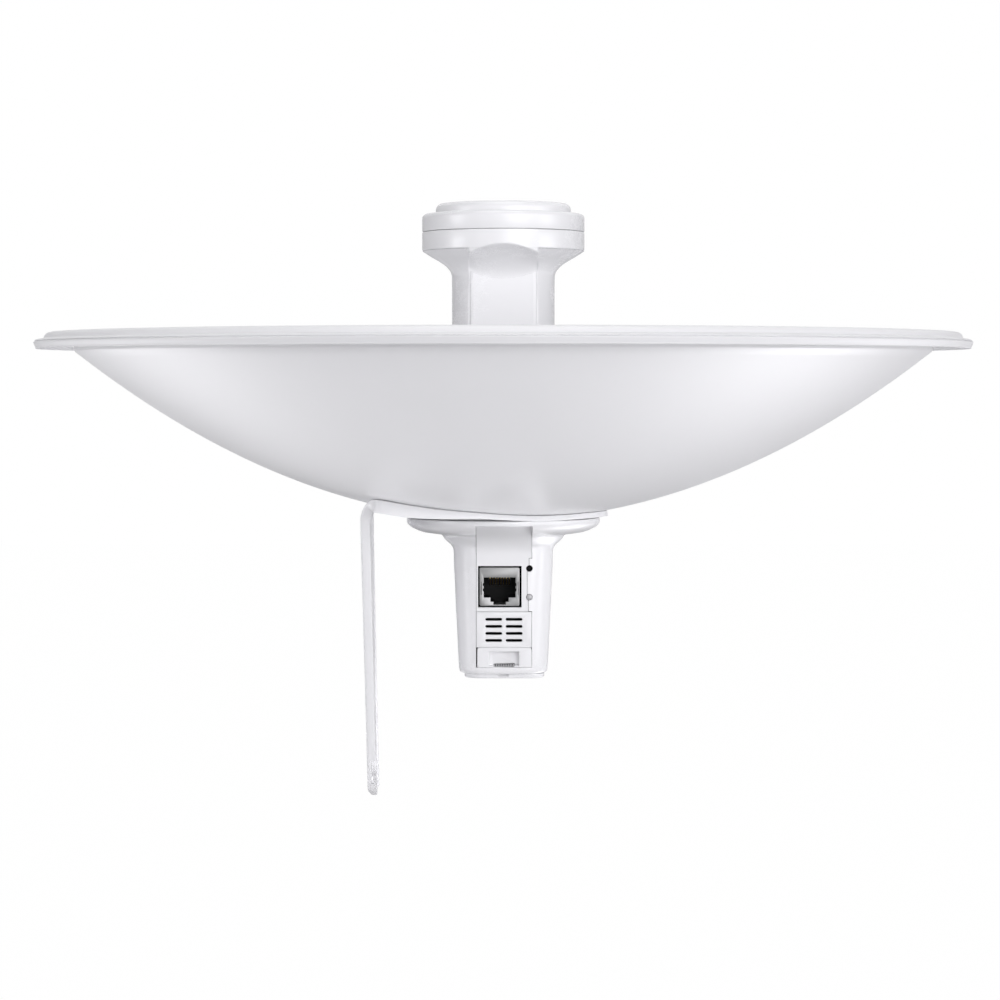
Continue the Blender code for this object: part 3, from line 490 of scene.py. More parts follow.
def dark_finish(name, colour, roughness):
    """Dark moulded plastic with a fine grain and paler rubbed edges."""
    finish = Finish(name, roughness)
    grain = finish.effect(GROUPS["grain"], Scale=5000.0, Slow_Scale=300.0)
    edges = finish.effect(GROUPS["edge"], Amount=0.6)
    base = finish.blend(grain.outputs["Tint"], shaded(colour, 0.7), shaded(colour, 1.3))
    finish.colour(finish.blend(edges.outputs["Edge"], base, shaded(colour, 2.6)))
    finish.roughen(grain.outputs["Gloss Shift"], 0.3)
    finish.bump(grain.outputs["Height"], 0.01, 0.5)
    finish.shader.inputs["Specular IOR Level"].default_value = 0.2
    return finish.material


def lens_finish(name, colour, roughness):
    """Milky grey light guide, glossy on top and darker towards its rim."""
    finish = Finish(name, roughness)
    grain = finish.effect(GROUPS["grain"], Scale=3000.0, Slow_Scale=500.0)
    edges = finish.effect(GROUPS["edge"], Amount=1.0)
    base = finish.blend(grain.outputs["Tint"], shaded(colour, 0.9), shaded(colour, 1.1))
    finish.colour(finish.blend(edges.outputs["Crease"], base, shaded(colour, 0.5)))
    finish.roughen(grain.outputs["Gloss Shift"], 0.1)
    finish.shader.inputs["Coat Weight"].default_value = 0.6
    return finish.material


def make_finishes(colours):
    if FINISHES:
        return
    GROUPS["grain"] = make_grain_group()
    GROUPS["dust"] = make_dust_group()
    GROUPS["edge"] = make_edge_group()
    GROUPS["brush"] = make_brush_group()
    paint = tuple(colours.paint)
    plastic = tuple(colours.plastic)
    for key, name, colour, *numbers in (
            ("paint", "powder_coat_white", paint, 0.36, 1400.0, 0.03, 0.10, 0.25, 0.15),
            # The recess finish is painted shade: the paint at 85 per cent, put on the rim's channel where
            # shade falls.
            ("recess", "powder_coat_recess", shaded(paint, 0.85), 0.5, 1400.0, 0.03, 0.0, 0.2, 0.0),
            ("plastic", "moulded_white", plastic, 0.26, 2600.0, 0.012, 0.08, 0.25, 0.15),
            ("panel", "moulded_white_panel", shaded(plastic, 0.97), 0.4, 3600.0, 0.02, 0.05, 0.3, 0.0)):
        FINISHES[key] = white_finish(name, colour, *numbers)
    FINISHES["nickel"] = metal_finish("nickel_plated_sheet", tuple(colours.shield), 0.38, 1500.0, 0.2)
    FINISHES["gold"] = metal_finish("gold_plated_wire", tuple(colours.contact), 0.25, 3000.0, 0.1)
    FINISHES["zinc"] = metal_finish("zinc_plated_steel", (0.62, 0.62, 0.64), 0.32, 1200.0, 0.15)
    FINISHES["black"] = dark_finish("black_nylon", (0.006, 0.006, 0.0065), 0.65)
    # The shade finish is painted shade: near-black plastic put inside the window and the latch's grip slot,
    # where there is only shade.
    FINISHES["shade"] = dark_finish("painted_shade_near_black", (0.004, 0.004, 0.005), 0.8)
    FINISHES["lens"] = lens_finish("grey_light_guide", tuple(colours.lens), 0.2)


# Settings that a user would change

class AntennaSizes(bpy.types.PropertyGroup):
    """Sizes that can be changed without redrawing a piece."""

    seam: bpy.props.FloatProperty(
        name="Seam", description="Open gap between neighbouring mouldings", default=0.00014,
        min=0.00005, max=0.0008, subtype="DISTANCE", unit="LENGTH", precision=5)
    sheet_edge: bpy.props.FloatProperty(
        name="Sheet edge", description="Radius on the cut edges of the bracket", default=0.00028,
        min=0.0001, max=0.0009, subtype="DISTANCE", unit="LENGTH", precision=5)
    mould_edge: bpy.props.FloatProperty(
        name="Moulding edge", description="Radius on the edges of the plastic panels", default=0.00022,
        min=0.00005, max=0.0006, subtype="DISTANCE", unit="LENGTH", precision=5)
    dish_segments: bpy.props.IntProperty(
        name="Dish segments", description="Steps round the reflector", default=192, min=96, max=256)
    feed_segments: bpy.props.IntProperty(
        name="Feed segments", description="Steps round the feed and the hub", default=128, min=64, max=192)


class AntennaColours(bpy.types.PropertyGroup):
    """Base colours of the finishes."""

    paint: bpy.props.FloatVectorProperty(
        name="Paint", description="Powder coat on the reflector and the bracket",
        default=(0.80, 0.80, 0.815), min=0.0, max=1.0, size=3, subtype="COLOR")
    plastic: bpy.props.FloatVectorProperty(
        name="Plastic", description="Mouldings of the feed and the housing",
        default=(0.80, 0.80, 0.815), min=0.0, max=1.0, size=3, subtype="COLOR")
    shield: bpy.props.FloatVectorProperty(
        name="Socket shield", description="Plated sheet round the network socket",
        default=(0.36, 0.36, 0.36), min=0.0, max=1.0, size=3, subtype="COLOR")
    contact: bpy.props.FloatVectorProperty(
        name="Contacts", description="Plated spring wires in the socket",
        default=(0.83, 0.62, 0.28), min=0.0, max=1.0, size=3, subtype="COLOR")
    lens: bpy.props.FloatVectorProperty(
        name="Lamp lens", description="Light guide of the status lamp",
        default=(0.42, 0.42, 0.43), min=0.0, max=1.0, size=3, subtype="COLOR")


class AntennaLight(bpy.types.PropertyGroup):
    """Strengths of the studio lights."""

    base: bpy.props.FloatProperty(
        name="Surroundings", description="Lowest brightness of the surroundings",
        default=0.12, min=0.0, max=4.0)
    panels: bpy.props.FloatProperty(
        name="Panels", description="Strength of the soft panels round the object",
        default=1.0, min=0.0, max=4.0)
    top: bpy.props.FloatProperty(
        name="Top", description="Power of the large light overhead", default=6.5, min=0.0, max=100.0)


# Reflector

HUB_HOLE = 21.5


def bowl(radius):
    return radius * radius / (4.0 * FOCAL)


def bowl_inside(radius):
    slope = math.atan(radius / (2.0 * FOCAL))
    return bowl(radius) + SHEET / math.cos(slope)


def reflector_profile():
    """Closed (radius, height) section of the pressed sheet: bowl, hollow bead and hemmed lip."""
    edge, inside = 160.3, 157.4
    outer = [(radius, bowl(radius)) for radius in spaced(HUB_HOLE, edge, 44)]
    channel = [(160.6, 63.8), (160.65, 65.2), (160.7, 66.9), (160.9, 68.0), (161.5, 68.75), (162.6, 69.15),
               (164.4, 69.3), (166.6, 69.25), (168.4, 68.95), (169.3, 68.4), (169.75, 67.7), (169.85, 67.0),
               (169.95, 66.2), (170.3, 65.75), (171.0, 65.6), (172.9, 65.55), (173.5, 65.4), (173.8, 65.0),
               (173.95, 64.55), (174.15, 64.35), (174.4, 64.28)]
    lip = [(174.62, 64.31), (174.78, 64.42), (174.84, 64.6), (174.83, 64.8), (174.9, 65.0), (175.18, 65.6),
           (175.4, 66.15), (175.5, 66.5), (175.5, 66.7), (175.42, 66.84), (175.2, 66.9)]
    groove = [(174.9, 66.93), (174.72, 66.98), (174.72, 67.06), (174.9, 67.1), (175.08, 67.14),
              (175.14, 67.24), (175.05, 67.38), (174.82, 67.55), (174.5, 67.69), (174.2, 67.77)]
    shoulder = [(173.3, 67.86), (172.4, 67.98), (172.0, 68.1), (171.78, 68.35), (171.62, 68.75),
                (171.4, 69.2), (171.1, 69.62), (170.7, 69.98), (170.2, 70.24), (169.6, 70.38),
                (168.6, 70.44), (166.5, 70.48)]
    crown = [(162.6, 70.48)]
    inner_roll = arc(161.4, 68.4, 2.2, 2.06, 90.0, 180.0, 8)
    wall = [(159.05, 67.2), (158.7, 65.4), (158.1, 63.6)]
    inner = [(radius, bowl_inside(radius)) for radius in reversed(spaced(HUB_HOLE, inside, 40))]
    return outer + channel + lip + groove + shoulder + crown + inner_roll + wall + inner


def build_reflector(sizes):
    item = turned("reflector_bowl", reflector_profile(), sizes.dish_segments, True)
    finish_piece(item, FINISHES["paint"], "white_paint", "dish_reflector", angle=28.0)
    # Painted shade: the channel under the rim and the lip's inner wall get the paint at 85 per cent in
    # place of the shade there.
    paint_shade_on(item, FINISHES["recess"], lambda place, normal: (
        65.0 < place.z < 69.4 and normal.z < 0.5 and 160.55 < math.hypot(place.x, place.y) < 170.0)
        or (64.36 < place.z < 65.7 and 169.9 < math.hypot(place.x, place.y) < 174.3))


# Bracket

PLATE_OUTLINE = ((-46.48, 40.6), (-45.2, 41.8), (-43.5, 42.35), (-41.0, 42.5), (-13.0, 42.5),
                 (-6.0, 41.0), (4.0, 36.9), (21.0, 29.2), (29.0, 24.8), (33.0, 21.6), (36.0, 17.6),
                 (38.0, 12.0), (39.0, 6.0), (39.2, 3.0))
PLATE_GAP = 0.35
NEAR_GAP = 0.2
STEEL = 2.0
BEND_X = -46.48
BEND_HALF = 34.0
BEND_RADIUS = 4.2
LIP = 2.9
LOWER_RADIUS = 9.0
LOWER_TURN = math.radians(39.0)
LEAN = math.radians(1.15)
ARM_UNCUT = -110.0
FRONT_CORNER = (-15.8, -95.6, 5.5)
BACK_CORNER = (13.8, -99.2, 7.5)
END_SLANT = 10.8
PIVOT_Z = -50.0
SLOT_Z = -93.5
SLOT_HALF = 4.3


def along(outline, x):
    for (x_low, low), (x_high, high) in zip(outline, outline[1:]):
        if x <= x_high:
            return low + (high - low) * (x - x_low) / (x_high - x_low)
    return outline[-1][1]


def bend_place(side, depth, share):
    """Place on the bend, which turns tightly first and then more slowly into the arm."""
    first = math.pi - math.atan(abs(BEND_X) / (2.0 * FOCAL))
    last = 1.5 * math.pi + LEAN
    change = last - LOWER_TURN
    heading = first + (last - first) * share
    height = bowl(math.hypot(BEND_X, side)) - PLATE_GAP
    centre_x = BEND_X - BEND_RADIUS * math.sin(first)
    centre_z = height + BEND_RADIUS * math.cos(first)
    reach = BEND_RADIUS - depth
    if heading > change:
        reach = LOWER_RADIUS - depth
        centre_x += (BEND_RADIUS - LOWER_RADIUS) * math.sin(change)
        centre_z -= (BEND_RADIUS - LOWER_RADIUS) * math.cos(change)
    return Vector((centre_x + reach * math.sin(heading), side, centre_z - reach * math.cos(heading)))


def arm_face(height):
    """X of the arm's outer face at a height."""
    end = bend_place(0.0, 0.0, 1.0)
    return end.x + (end.z - height) * math.tan(LEAN)


def arm_half(height):
    share = max((height - SLOT_Z) / (3.0 - SLOT_Z), 0.0)
    return 21.3 + 12.7 * share ** 1.3


def plate_gap(x):
    """The plate lies close under the bowl and leaves it a little towards the bend."""
    share = min(max((-36.0 - x) / (-36.0 - BEND_X), 0.0), 1.0)
    return NEAR_GAP + (PLATE_GAP - NEAR_GAP) * share * share * (3.0 - 2.0 * share)


def strip_place(run, side, depth):
    """Place on the strip.

    A run is a plate X, a bend share or an arm height. Side goes from -1 to 1, and depth inwards.
    """
    kind, value = run
    if kind == "plate":
        half = along(PLATE_OUTLINE, value)
        y = side * half
        inward = Vector((value / (2.0 * FOCAL), y / (2.0 * FOCAL), -1.0)).normalized()
        return Vector((value, y, bowl(math.hypot(value, y)) - plate_gap(value))) + inward * depth
    if kind == "bend":
        start_half = along(PLATE_OUTLINE, BEND_X)
        return bend_place(side * (start_half + (BEND_HALF - start_half) * value), depth, value)
    y = side * arm_half(value)
    return Vector((arm_face(value) + depth * math.cos(LEAN), y, value + depth * math.sin(LEAN)))


def lip_depths(run):
    """How deep the front and back edges of the strip are turned in, past its outer face."""
    kind, value = run
    if kind == "plate":
        lip = LIP * min(max((-8.0 - value) / 28.0, 0.0), 1.0)
        return lip, lip
    if kind == "bend":
        return LIP + (1.5 - LIP) * value, LIP * (1.0 - value) + 0.1
    share = min(max(value / SLOT_Z, 0.0), 1.0)
    return 1.5 - 0.4 * share, 0.1 + 0.5 * share


def strip_runs():
    runs = [("plate", x) for x in (
        39.2, 38.6, 37.6, 36.0, 34.0, 32.0, 29.0, 26.0, 22.0, 18.0, 14.0, 9.0, 4.0, -1.0, -6.0, -11.0,
        -16.0, -21.0, -26.0, -31.0, -36.0, -40.0, -43.0, -45.5, BEND_X)]
    runs += [("bend", step / 16.0) for step in range(1, 17)]
    runs += [("arm", -10.0 - 8.0 * step) for step in range(11)]
    return runs + [("arm", -100.0), ("arm", ARM_UNCUT)]


STRIP_FLATS = (-1.0, -0.85, -0.68, -0.5, -0.33, -0.16, 0.0, 0.16, 0.33, 0.5, 0.68, 0.85, 1.0)


def strip_section(run):
    """Closed section of the strip as (side share, sideways shift, depth), round from the front lip."""
    front, back = lip_depths(run)
    turn = {"plate": 0.3, "bend": 0.3 + 0.55 * run[1], "arm": 0.85}[run[0]]
    shifts = [(turn * (1.0 - math.cos(math.radians(angle))), turn * (1.0 - math.sin(math.radians(angle))))
              for angle in (0.0, 30.0, 60.0, 90.0)]
    outer = [(-1.0, 0.0, STEEL + front), (-1.0, 0.0, (STEEL + front + turn) / 2.0)]
    outer += [(-1.0, shift, depth) for shift, depth in shifts]
    outer += [(share, -share * turn, 0.0) for share in STRIP_FLATS[1:-1]]
    outer += [(1.0, -shift, depth) for shift, depth in reversed(shifts)]
    outer += [(1.0, 0.0, (STEEL + back + turn) / 2.0), (1.0, 0.0, STEEL + back)]
    inner = [(1.0, -STEEL, STEEL + back), (1.0, -STEEL, STEEL)]
    inner += [(share, -share * STEEL, STEEL) for share in reversed(STRIP_FLATS[1:-1])]
    inner += [(-1.0, STEEL, STEEL), (-1.0, STEEL, STEEL + front)]
    return outer + inner + outer[:1]


def build_bracket(sizes):
    """Wrap a flat grid into the closed strip of plate, bend and arm, then cut its holes."""
    runs = strip_runs()
    sections = [strip_section(run) for run in runs]
    rows = len(runs)
    columns = len(sections[0])
    calm()
    bpy.ops.mesh.primitive_grid_add(x_subdivisions=rows - 1, y_subdivisions=columns - 1, size=2.0)
    item = bpy.context.object
    item.name = item.data.name = "mount_bracket"
    for vert in item.data.vertices:
        row = round((vert.co.x + 1.0) / 2.0 * (rows - 1))
        column = round((vert.co.y + 1.0) / 2.0 * (columns - 1))
        share, shift, depth = sections[row][column]
        place = strip_place(runs[row], share, depth)
        place.y += shift
        vert.co = place * MM
    edit(item)
    bpy.ops.mesh.select_all(action="SELECT")
    bpy.ops.mesh.remove_doubles(threshold=0.001 * MM)
    bpy.ops.mesh.select_all(action="DESELECT")
    bpy.ops.mesh.select_non_manifold()
    bpy.ops.mesh.edge_face_add()
    face_out()
    calm()
    combine(item, rod("neck_hole", HUB_HOLE, -8.0, 8.0, 96))
    face_x = arm_face(PIVOT_Z)
    pivot = [(face_x - 6.0, y, z) for y, z in arc(0.0, PIVOT_Z, 4.5, 4.5, 0.0, 352.5, 47)]
    combine(item, raised("pivot_hole", pivot, (14.0, 0.0, 0.0)))
    slot = long_hole(-1.0, SLOT_Z, 10.0, SLOT_HALF, 20)
    combine(item, side_cut("clamp_slot", slot, face_x - 6.0, face_x + 10.0))
    notch_x = arm_face(SLOT_Z) + 1.5
    combine(item, block("lip_notch", (notch_x, -30.0, SLOT_Z - SLOT_HALF),
                        (notch_x + 9.0, -14.6, SLOT_Z + SLOT_HALF)))
    front_y, front_z, front_radius = FRONT_CORNER
    back_y, back_z, back_radius = BACK_CORNER
    end = [(-30.0, ARM_UNCUT - 3.0), (-30.0, front_z)]
    end += arc(front_y, front_z, front_radius, front_radius, 180.0, 270.0 - END_SLANT, 10)
    end += arc(back_y, back_z, back_radius, back_radius, 270.0 - END_SLANT, 360.0, 14)
    end += [(30.0, back_z), (30.0, ARM_UNCUT - 3.0)]
    combine(item, side_cut("arm_end", end, face_x - 6.0, face_x + 10.0))
    soften(item, sizes.sheet_edge / MM, 3, 48.0)
    finish_piece(item, FINISHES["paint"], "white_paint", "mounting_bracket", angle=30.0)


# Hub: collar and screws inside the bowl

SCREW_CIRCLE = 30.5


def build_hub_collar(sizes):
    inner, outer = 19.55, 25.5
    foot_inner = bowl_inside(HUB_HOLE) + 0.2
    foot_outer = bowl_inside(outer) + 0.2
    top = foot_outer + 3.2
    profile = [(inner, foot_inner), (HUB_HOLE, foot_inner), (outer, foot_outer), (outer, top - 1.1)]
    profile += arc(outer - 1.1, top - 1.1, 1.1, 1.1, 0.0, 90.0, 6)[1:]
    profile += [(inner + 1.4, top), (inner + 0.9, top - 0.1), (inner + 0.4, top - 0.5), (inner, top - 1.2)]
    item = turned("hub_ring", profile, sizes.feed_segments, True)
    for number in range(8):
        angle = math.radians(22.5 + 45.0 * number)
        turn_x, turn_y = math.cos(angle), math.sin(angle)
        corners = [(23.4, -1.3), (27.0, -1.3), (27.0, 1.3), (23.4, 1.3)]
        outline = [(r * turn_x - s * turn_y, r * turn_y + s * turn_x, foot_outer + 1.1) for r, s in corners]
        combine(item, raised("grip_notch", outline, (0.0, 0.0, 6.0)))
    soften(item, 0.15, 2, 45.0)
    finish_piece(item, FINISHES["plastic"], "white_plastic", "hub_collar", angle=30.0)


def build_hub_screws(sizes):
    """Pan-head screw with a cross recess, modelled once and copied round the hub."""
    head = 3.4
    start = SHEET + 0.15
    profile = [(0.0, -4.9), (1.9, -4.9), (1.9, start), (head - 0.25, start), (head, start + 0.2),
               (head, start + 1.0)]
    profile += arc(head - 1.6, start + 1.0, 1.6, 1.4, 0.0, 90.0, 8)[1:]
    profile += [(0.0, start + 2.45)]
    master = turned("hub_screw_pan_1", profile, 48)
    for angle in (0.0, 90.0):
        wide, long = 0.42, 1.9
        outline = [(-long, -wide), (long, -wide), (long, wide), (-long, wide)]
        if angle:
            outline = [(y, x) for x, y in reversed(outline)]
        tool = raised("cross_recess", [(x, y, start + 1.0) for x, y in outline], (0.0, 0.0, 4.0))
        combine(master, tool)
    soften(master, 0.1, 2, 50.0)
    slope = math.atan(SCREW_CIRCLE / (2.0 * FOCAL))
    screws = [master]
    for number in range(1, 4):
        only(master)
        bpy.ops.object.duplicate(linked=False)
        copy = bpy.context.object
        copy.name = copy.data.name = "hub_screw_pan_%d" % (number + 1)
        screws.append(copy)
    for number, screw in enumerate(screws):
        only(screw)
        screw.rotation_euler = (0.0, -slope, 0.0)
        screw.location = (SCREW_CIRCLE * MM, 0.0, bowl(SCREW_CIRCLE) * MM)
        bpy.ops.object.transform_apply(location=True, rotation=True, scale=True)
        screw.rotation_euler = (0.0, 0.0, math.radians(45.0 + 90.0 * number))
        bpy.ops.object.transform_apply(location=True, rotation=True, scale=True)
        finish_piece(screw, FINISHES["zinc"], "screw_steel", "hub_screw_%d" % (number + 1))


# Feed

DRUM = 30.6
DRUM_FOOT = 101.2
DRUM_SEAM = 108.4
DRUM_TOP = 115.2
TOP_STEP = 25.45
TOP_DISC = 119.2
NECK = 19.35
COVER_HALF = 12.3
COVER_FLAT = -14.87
PRESS_HALF = 13.5
PRESS_BLEND = 0.9


def scoop_foot(x):
    """Height where the flat front ends and the scoop under the drum begins."""
    return 90.7 + 2.6 * (x / COVER_HALF) ** 2


def scoop_front(x, z):
    """How far forward the front reaches: flat below the scoop, curving out to the drum above it."""
    foot = scoop_foot(x)
    share = max((z - foot) / (103.1 - 2.4 * (x / COVER_HALF) ** 2 - foot), 0.0)
    return COVER_FLAT - 16.3 * share ** 1.9


def press_scoop(item):
    """Comb the front columns straight, bring them out to the drum, then press the scoop into them."""
    edge_angle = math.asin(PRESS_HALF / NECK)
    for vert in item.data.vertices:
        x, y, z = vert.co / MM
        radius = math.hypot(x, y)
        if radius < 5.0:
            continue
        angle = math.atan2(x, -y)
        if radius >= NECK - 0.01:
            side = math.copysign(1.0, angle)
            if abs(angle) <= edge_angle:
                angle = math.asin(NECK * math.sin(angle) / radius)
            else:
                share = (abs(angle) - edge_angle) / (math.pi - edge_angle)
                start = math.asin(PRESS_HALF / radius)
                angle = side * (start + (math.pi - start) * share)
        x, y = radius * math.sin(angle), -radius * math.cos(angle)
        if y < -5.0 and abs(x) < COVER_HALF + 0.75:
            out = -math.sqrt(DRUM * DRUM - x * x) if z > 88.0 else y
            limit = scoop_front(x, z)
            share = min(max(0.5 + 0.5 * (out - limit) / PRESS_BLEND, 0.0), 1.0)
            pressed = limit + (out - limit) * share + PRESS_BLEND * share * (1.0 - share)
            fade = min(max((abs(x) - COVER_HALF - 0.1) / 0.65, 0.0), 1.0)
            y = pressed + (y - pressed) * fade * fade
        vert.co = Vector((x, y, z)) * MM


def build_feed_neck(sizes):
    throat = ((88.0, NECK), (92.0, 19.42), (93.2, 19.75), (94.3, 20.4), (95.4, 21.4), (96.5, 22.8),
              (97.7, 24.7), (98.95, 26.9), (100.15, 28.8), (DRUM_FOOT, DRUM - 0.15))
    profile = [(0.0, -1.3), (NECK, -1.3), (NECK, 30.0), (NECK, 60.0), (NECK, 80.0)]
    profile += [(along(throat, 88.0 + 0.4 * step), 88.0 + 0.4 * step) for step in range(33)]
    profile += [(DRUM - 0.15, DRUM_FOOT + 0.02), (DRUM - 0.4, DRUM_FOOT + 0.1), (0.0, DRUM_FOOT + 0.1)]
    neck = turned("feed_neck", profile, 2 * sizes.feed_segments)
    press_scoop(neck)
    half = COVER_HALF
    front = [(-half, -9.0), (half, -9.0)] + [(x, scoop_foot(x)) for x in spaced(half, -half, 16)]
    combine(neck, front_cut("cover_slot", front, -40.0, COVER_FLAT + 4.0))
    finish_piece(neck, FINISHES["plastic"], "white_plastic", "feed_neck_shell", angle=32.0)

    edge = half - 0.05
    section = [(-edge, -11.0), (-edge, -14.6), (-edge + 0.12, -14.74), (-11.45, -14.8), (-11.3, COVER_FLAT),
               (11.3, COVER_FLAT), (11.45, -14.8), (edge - 0.12, -14.74), (edge, -14.6), (edge, -11.0)]
    cover = raised("feed_front_cover", [(x, y, -1.3) for x, y in section], (0.0, 0.0, 100.0))
    above = [(20.0, 110.0), (-20.0, 110.0)] + [(x, scoop_foot(x) - 0.03) for x in spaced(-20.0, 20.0, 20)]
    combine(cover, front_cut("above_cover", above, -30.0, 0.0))
    finish_piece(cover, FINISHES["plastic"], "white_plastic", "feed_neck_cover", angle=3.0)


def build_feed_drum(sizes):
    seam = sizes.seam / MM
    lower_top = DRUM_SEAM - seam / 2.0
    lower = [(0.0, DRUM_FOOT + 0.15), (DRUM - 0.5, DRUM_FOOT + 0.15)]
    lower += arc(DRUM - 0.5, DRUM_FOOT + 0.65, 0.5, 0.5, -90.0, 0.0, 4)[1:]
    lower += [(DRUM, DRUM_FOOT + 0.9 + 0.25 * step) for step in range(9)]
    lower += [(DRUM, lower_top - 0.35), (DRUM - 0.1, lower_top - 0.1), (DRUM - 0.4, lower_top),
              (0.0, lower_top)]
    base = turned("feed_drum_base", lower, 2 * sizes.feed_segments)
    press_scoop(base)
    finish_piece(base, FINISHES["plastic"], "white_plastic", "feed_drum_lower", angle=30.0)

    foot = DRUM_SEAM + seam / 2.0
    upper = [(0.0, foot), (DRUM - 0.4, foot), (DRUM - 0.1, foot + 0.1), (DRUM, foot + 0.35),
             (DRUM, DRUM_TOP - 1.7)]
    upper += arc(DRUM - 1.7, DRUM_TOP - 1.7, 1.7, 1.7, 0.0, 90.0, 8)[1:]
    upper += [(TOP_STEP + 0.55, DRUM_TOP), (TOP_STEP + 0.15, DRUM_TOP - 0.12), (0.0, DRUM_TOP - 0.12)]
    cap = turned("feed_drum_cap", upper, sizes.feed_segments)
    finish_piece(cap, FINISHES["plastic"], "white_plastic", "feed_drum_upper", angle=30.0)

    disc = [(0.0, DRUM_TOP + 0.02), (TOP_STEP, DRUM_TOP + 0.02), (TOP_STEP, DRUM_TOP + 1.5)]
    disc += arc(TOP_STEP - 2.5, DRUM_TOP + 1.5, 2.5, 2.4, 0.0, 90.0, 10)[1:]
    disc += [(20.0, TOP_DISC - 0.06), (12.0, TOP_DISC - 0.02), (0.0, TOP_DISC)]
    top = turned("feed_top_disc_cap", disc, sizes.feed_segments)
    finish_piece(top, FINISHES["plastic"], "white_plastic", "feed_top_disc", angle=30.0)


# Housing

FLANGE = 36.5
FACE = -17.75
FACE_HALF = 14.0
SWEEP_Z = -12.0
RIM_FRONT = -35.9
RIM_Z = -0.8
BODY_CORNER = 9.0
BODY_DEPTH = 17.5
WINDOW_LEFT = -10.2
WINDOW_RIGHT = 10.7
STEP_TOP = -13.8
STEP_FOOT = -33.55
WINDOW_FOOT = -54.6
DOT_X = 9.72
DOT_RADIUS = 1.25
BUTTON_Z = -17.55
LENS_Z = -28.25
WINDOW_STEPS = ((9.4, STEP_FOOT), (9.4, LENS_Z), (8.95, LENS_Z + 0.4), (8.95, BUTTON_Z - 0.4),
                (9.66, BUTTON_Z), (9.66, STEP_TOP))


def face_sweep(flat, rim, top):
    """Concave sweep (y, z) from the flat face up and out to the flange."""
    return [(flat + (rim - flat) * (1.0 - math.cos(math.radians(5.0 * step))),
             SWEEP_Z + (top - SWEEP_Z) * math.sin(math.radians(5.0 * step))) for step in range(19)]


def box_reach(angle, wide, deep):
    """Distance from the axis to a rounded rectangle in a direction."""
    low, high = 0.0, wide + deep
    for _ in range(30):
        middle = (low + high) / 2.0
        over_x = max(abs(math.cos(angle)) * middle - (wide - BODY_CORNER), 0.0)
        over_y = max(abs(math.sin(angle)) * middle - (deep - BODY_CORNER), 0.0)
        if math.hypot(over_x, over_y) < BODY_CORNER:
            low = middle
        else:
            high = middle
    return low


def body_loops():
    """Loops (radius, half width, share of the rounded box, height) from the tail up to the flange's top."""
    loops = [(0.0, wide, 1.0, z) for wide, z in (
        (15.4, -57.1), (16.0, -56.95), (16.35, -56.6), (16.55, -56.0), (16.68, -55.2), (17.05, -48.1),
        (17.4, -40.6), (17.9, -31.5), (18.25, -22.5), (18.55, -17.0), (18.6, -14.4), (18.6, -12.6),
        (18.68, -11.7))]
    loops += [(19.0, 19.0, 0.85, -10.7), (19.35, 19.3, 0.74, -10.1), (19.8, 19.7, 0.6, -9.55),
              (20.4, 20.1, 0.45, -9.0), (21.0, 20.6, 0.3, -8.5), (21.6, 21.1, 0.18, -8.0),
              (22.1, 21.5, 0.1, -7.5), (22.5, 22.0, 0.04, -6.95)]
    loops += [(radius, 20.0, 0.0, z) for radius, z in (
        (22.8, -6.4), (23.15, -5.85), (23.8, -5.45), (25.4, -5.2), (27.5, -4.95), (30.5, -4.5),
        (32.5, -3.85), (34.5, -2.9), (35.5, -2.2), (36.1, -1.6), (36.42, -1.0), (FLANGE, -0.4),
        (FLANGE, 0.35), (36.44, 0.65), (36.3, 0.85), (36.0, 0.92), (35.5, 0.83))]
    loops += [(radius, 20.0, 0.0, bowl(radius) - 2.3) for radius in (34.0, 31.0, 24.0, 16.0, 8.0)]
    return loops


def loop_point(loop, angle):
    radius, wide, share, z = loop
    if share:
        deep = BODY_DEPTH - 0.5 * max(16.6 - wide, 0.0)
        radius += (box_reach(angle, wide, deep) - radius) * share
    return Vector((radius * math.cos(angle), radius * math.sin(angle), z))


def build_housing_body():
    """Rounded box drawn as one loop, extruded up its taper and opened out into the round flange."""
    loops = body_loops()
    angles = [math.radians(3.0 * step) for step in range(120)]
    item = trace("housing_body", [loop_point(loops[0], angle) for angle in angles])
    bpy.ops.mesh.select_all(action="SELECT")
    bpy.ops.mesh.edge_face_add()
    for before, loop in zip(loops, loops[1:]):
        extrude(0.0, 0.0, loop[3] - before[3])
        work = bmesh.from_edit_mesh(item.data)
        for vert in work.verts:
            if vert.select:
                vert.co = loop_point(loop, math.atan2(vert.co.y, vert.co.x)) * MM
        bmesh.update_edit_mesh(item.data)
    face_out()
    calm()
    return item


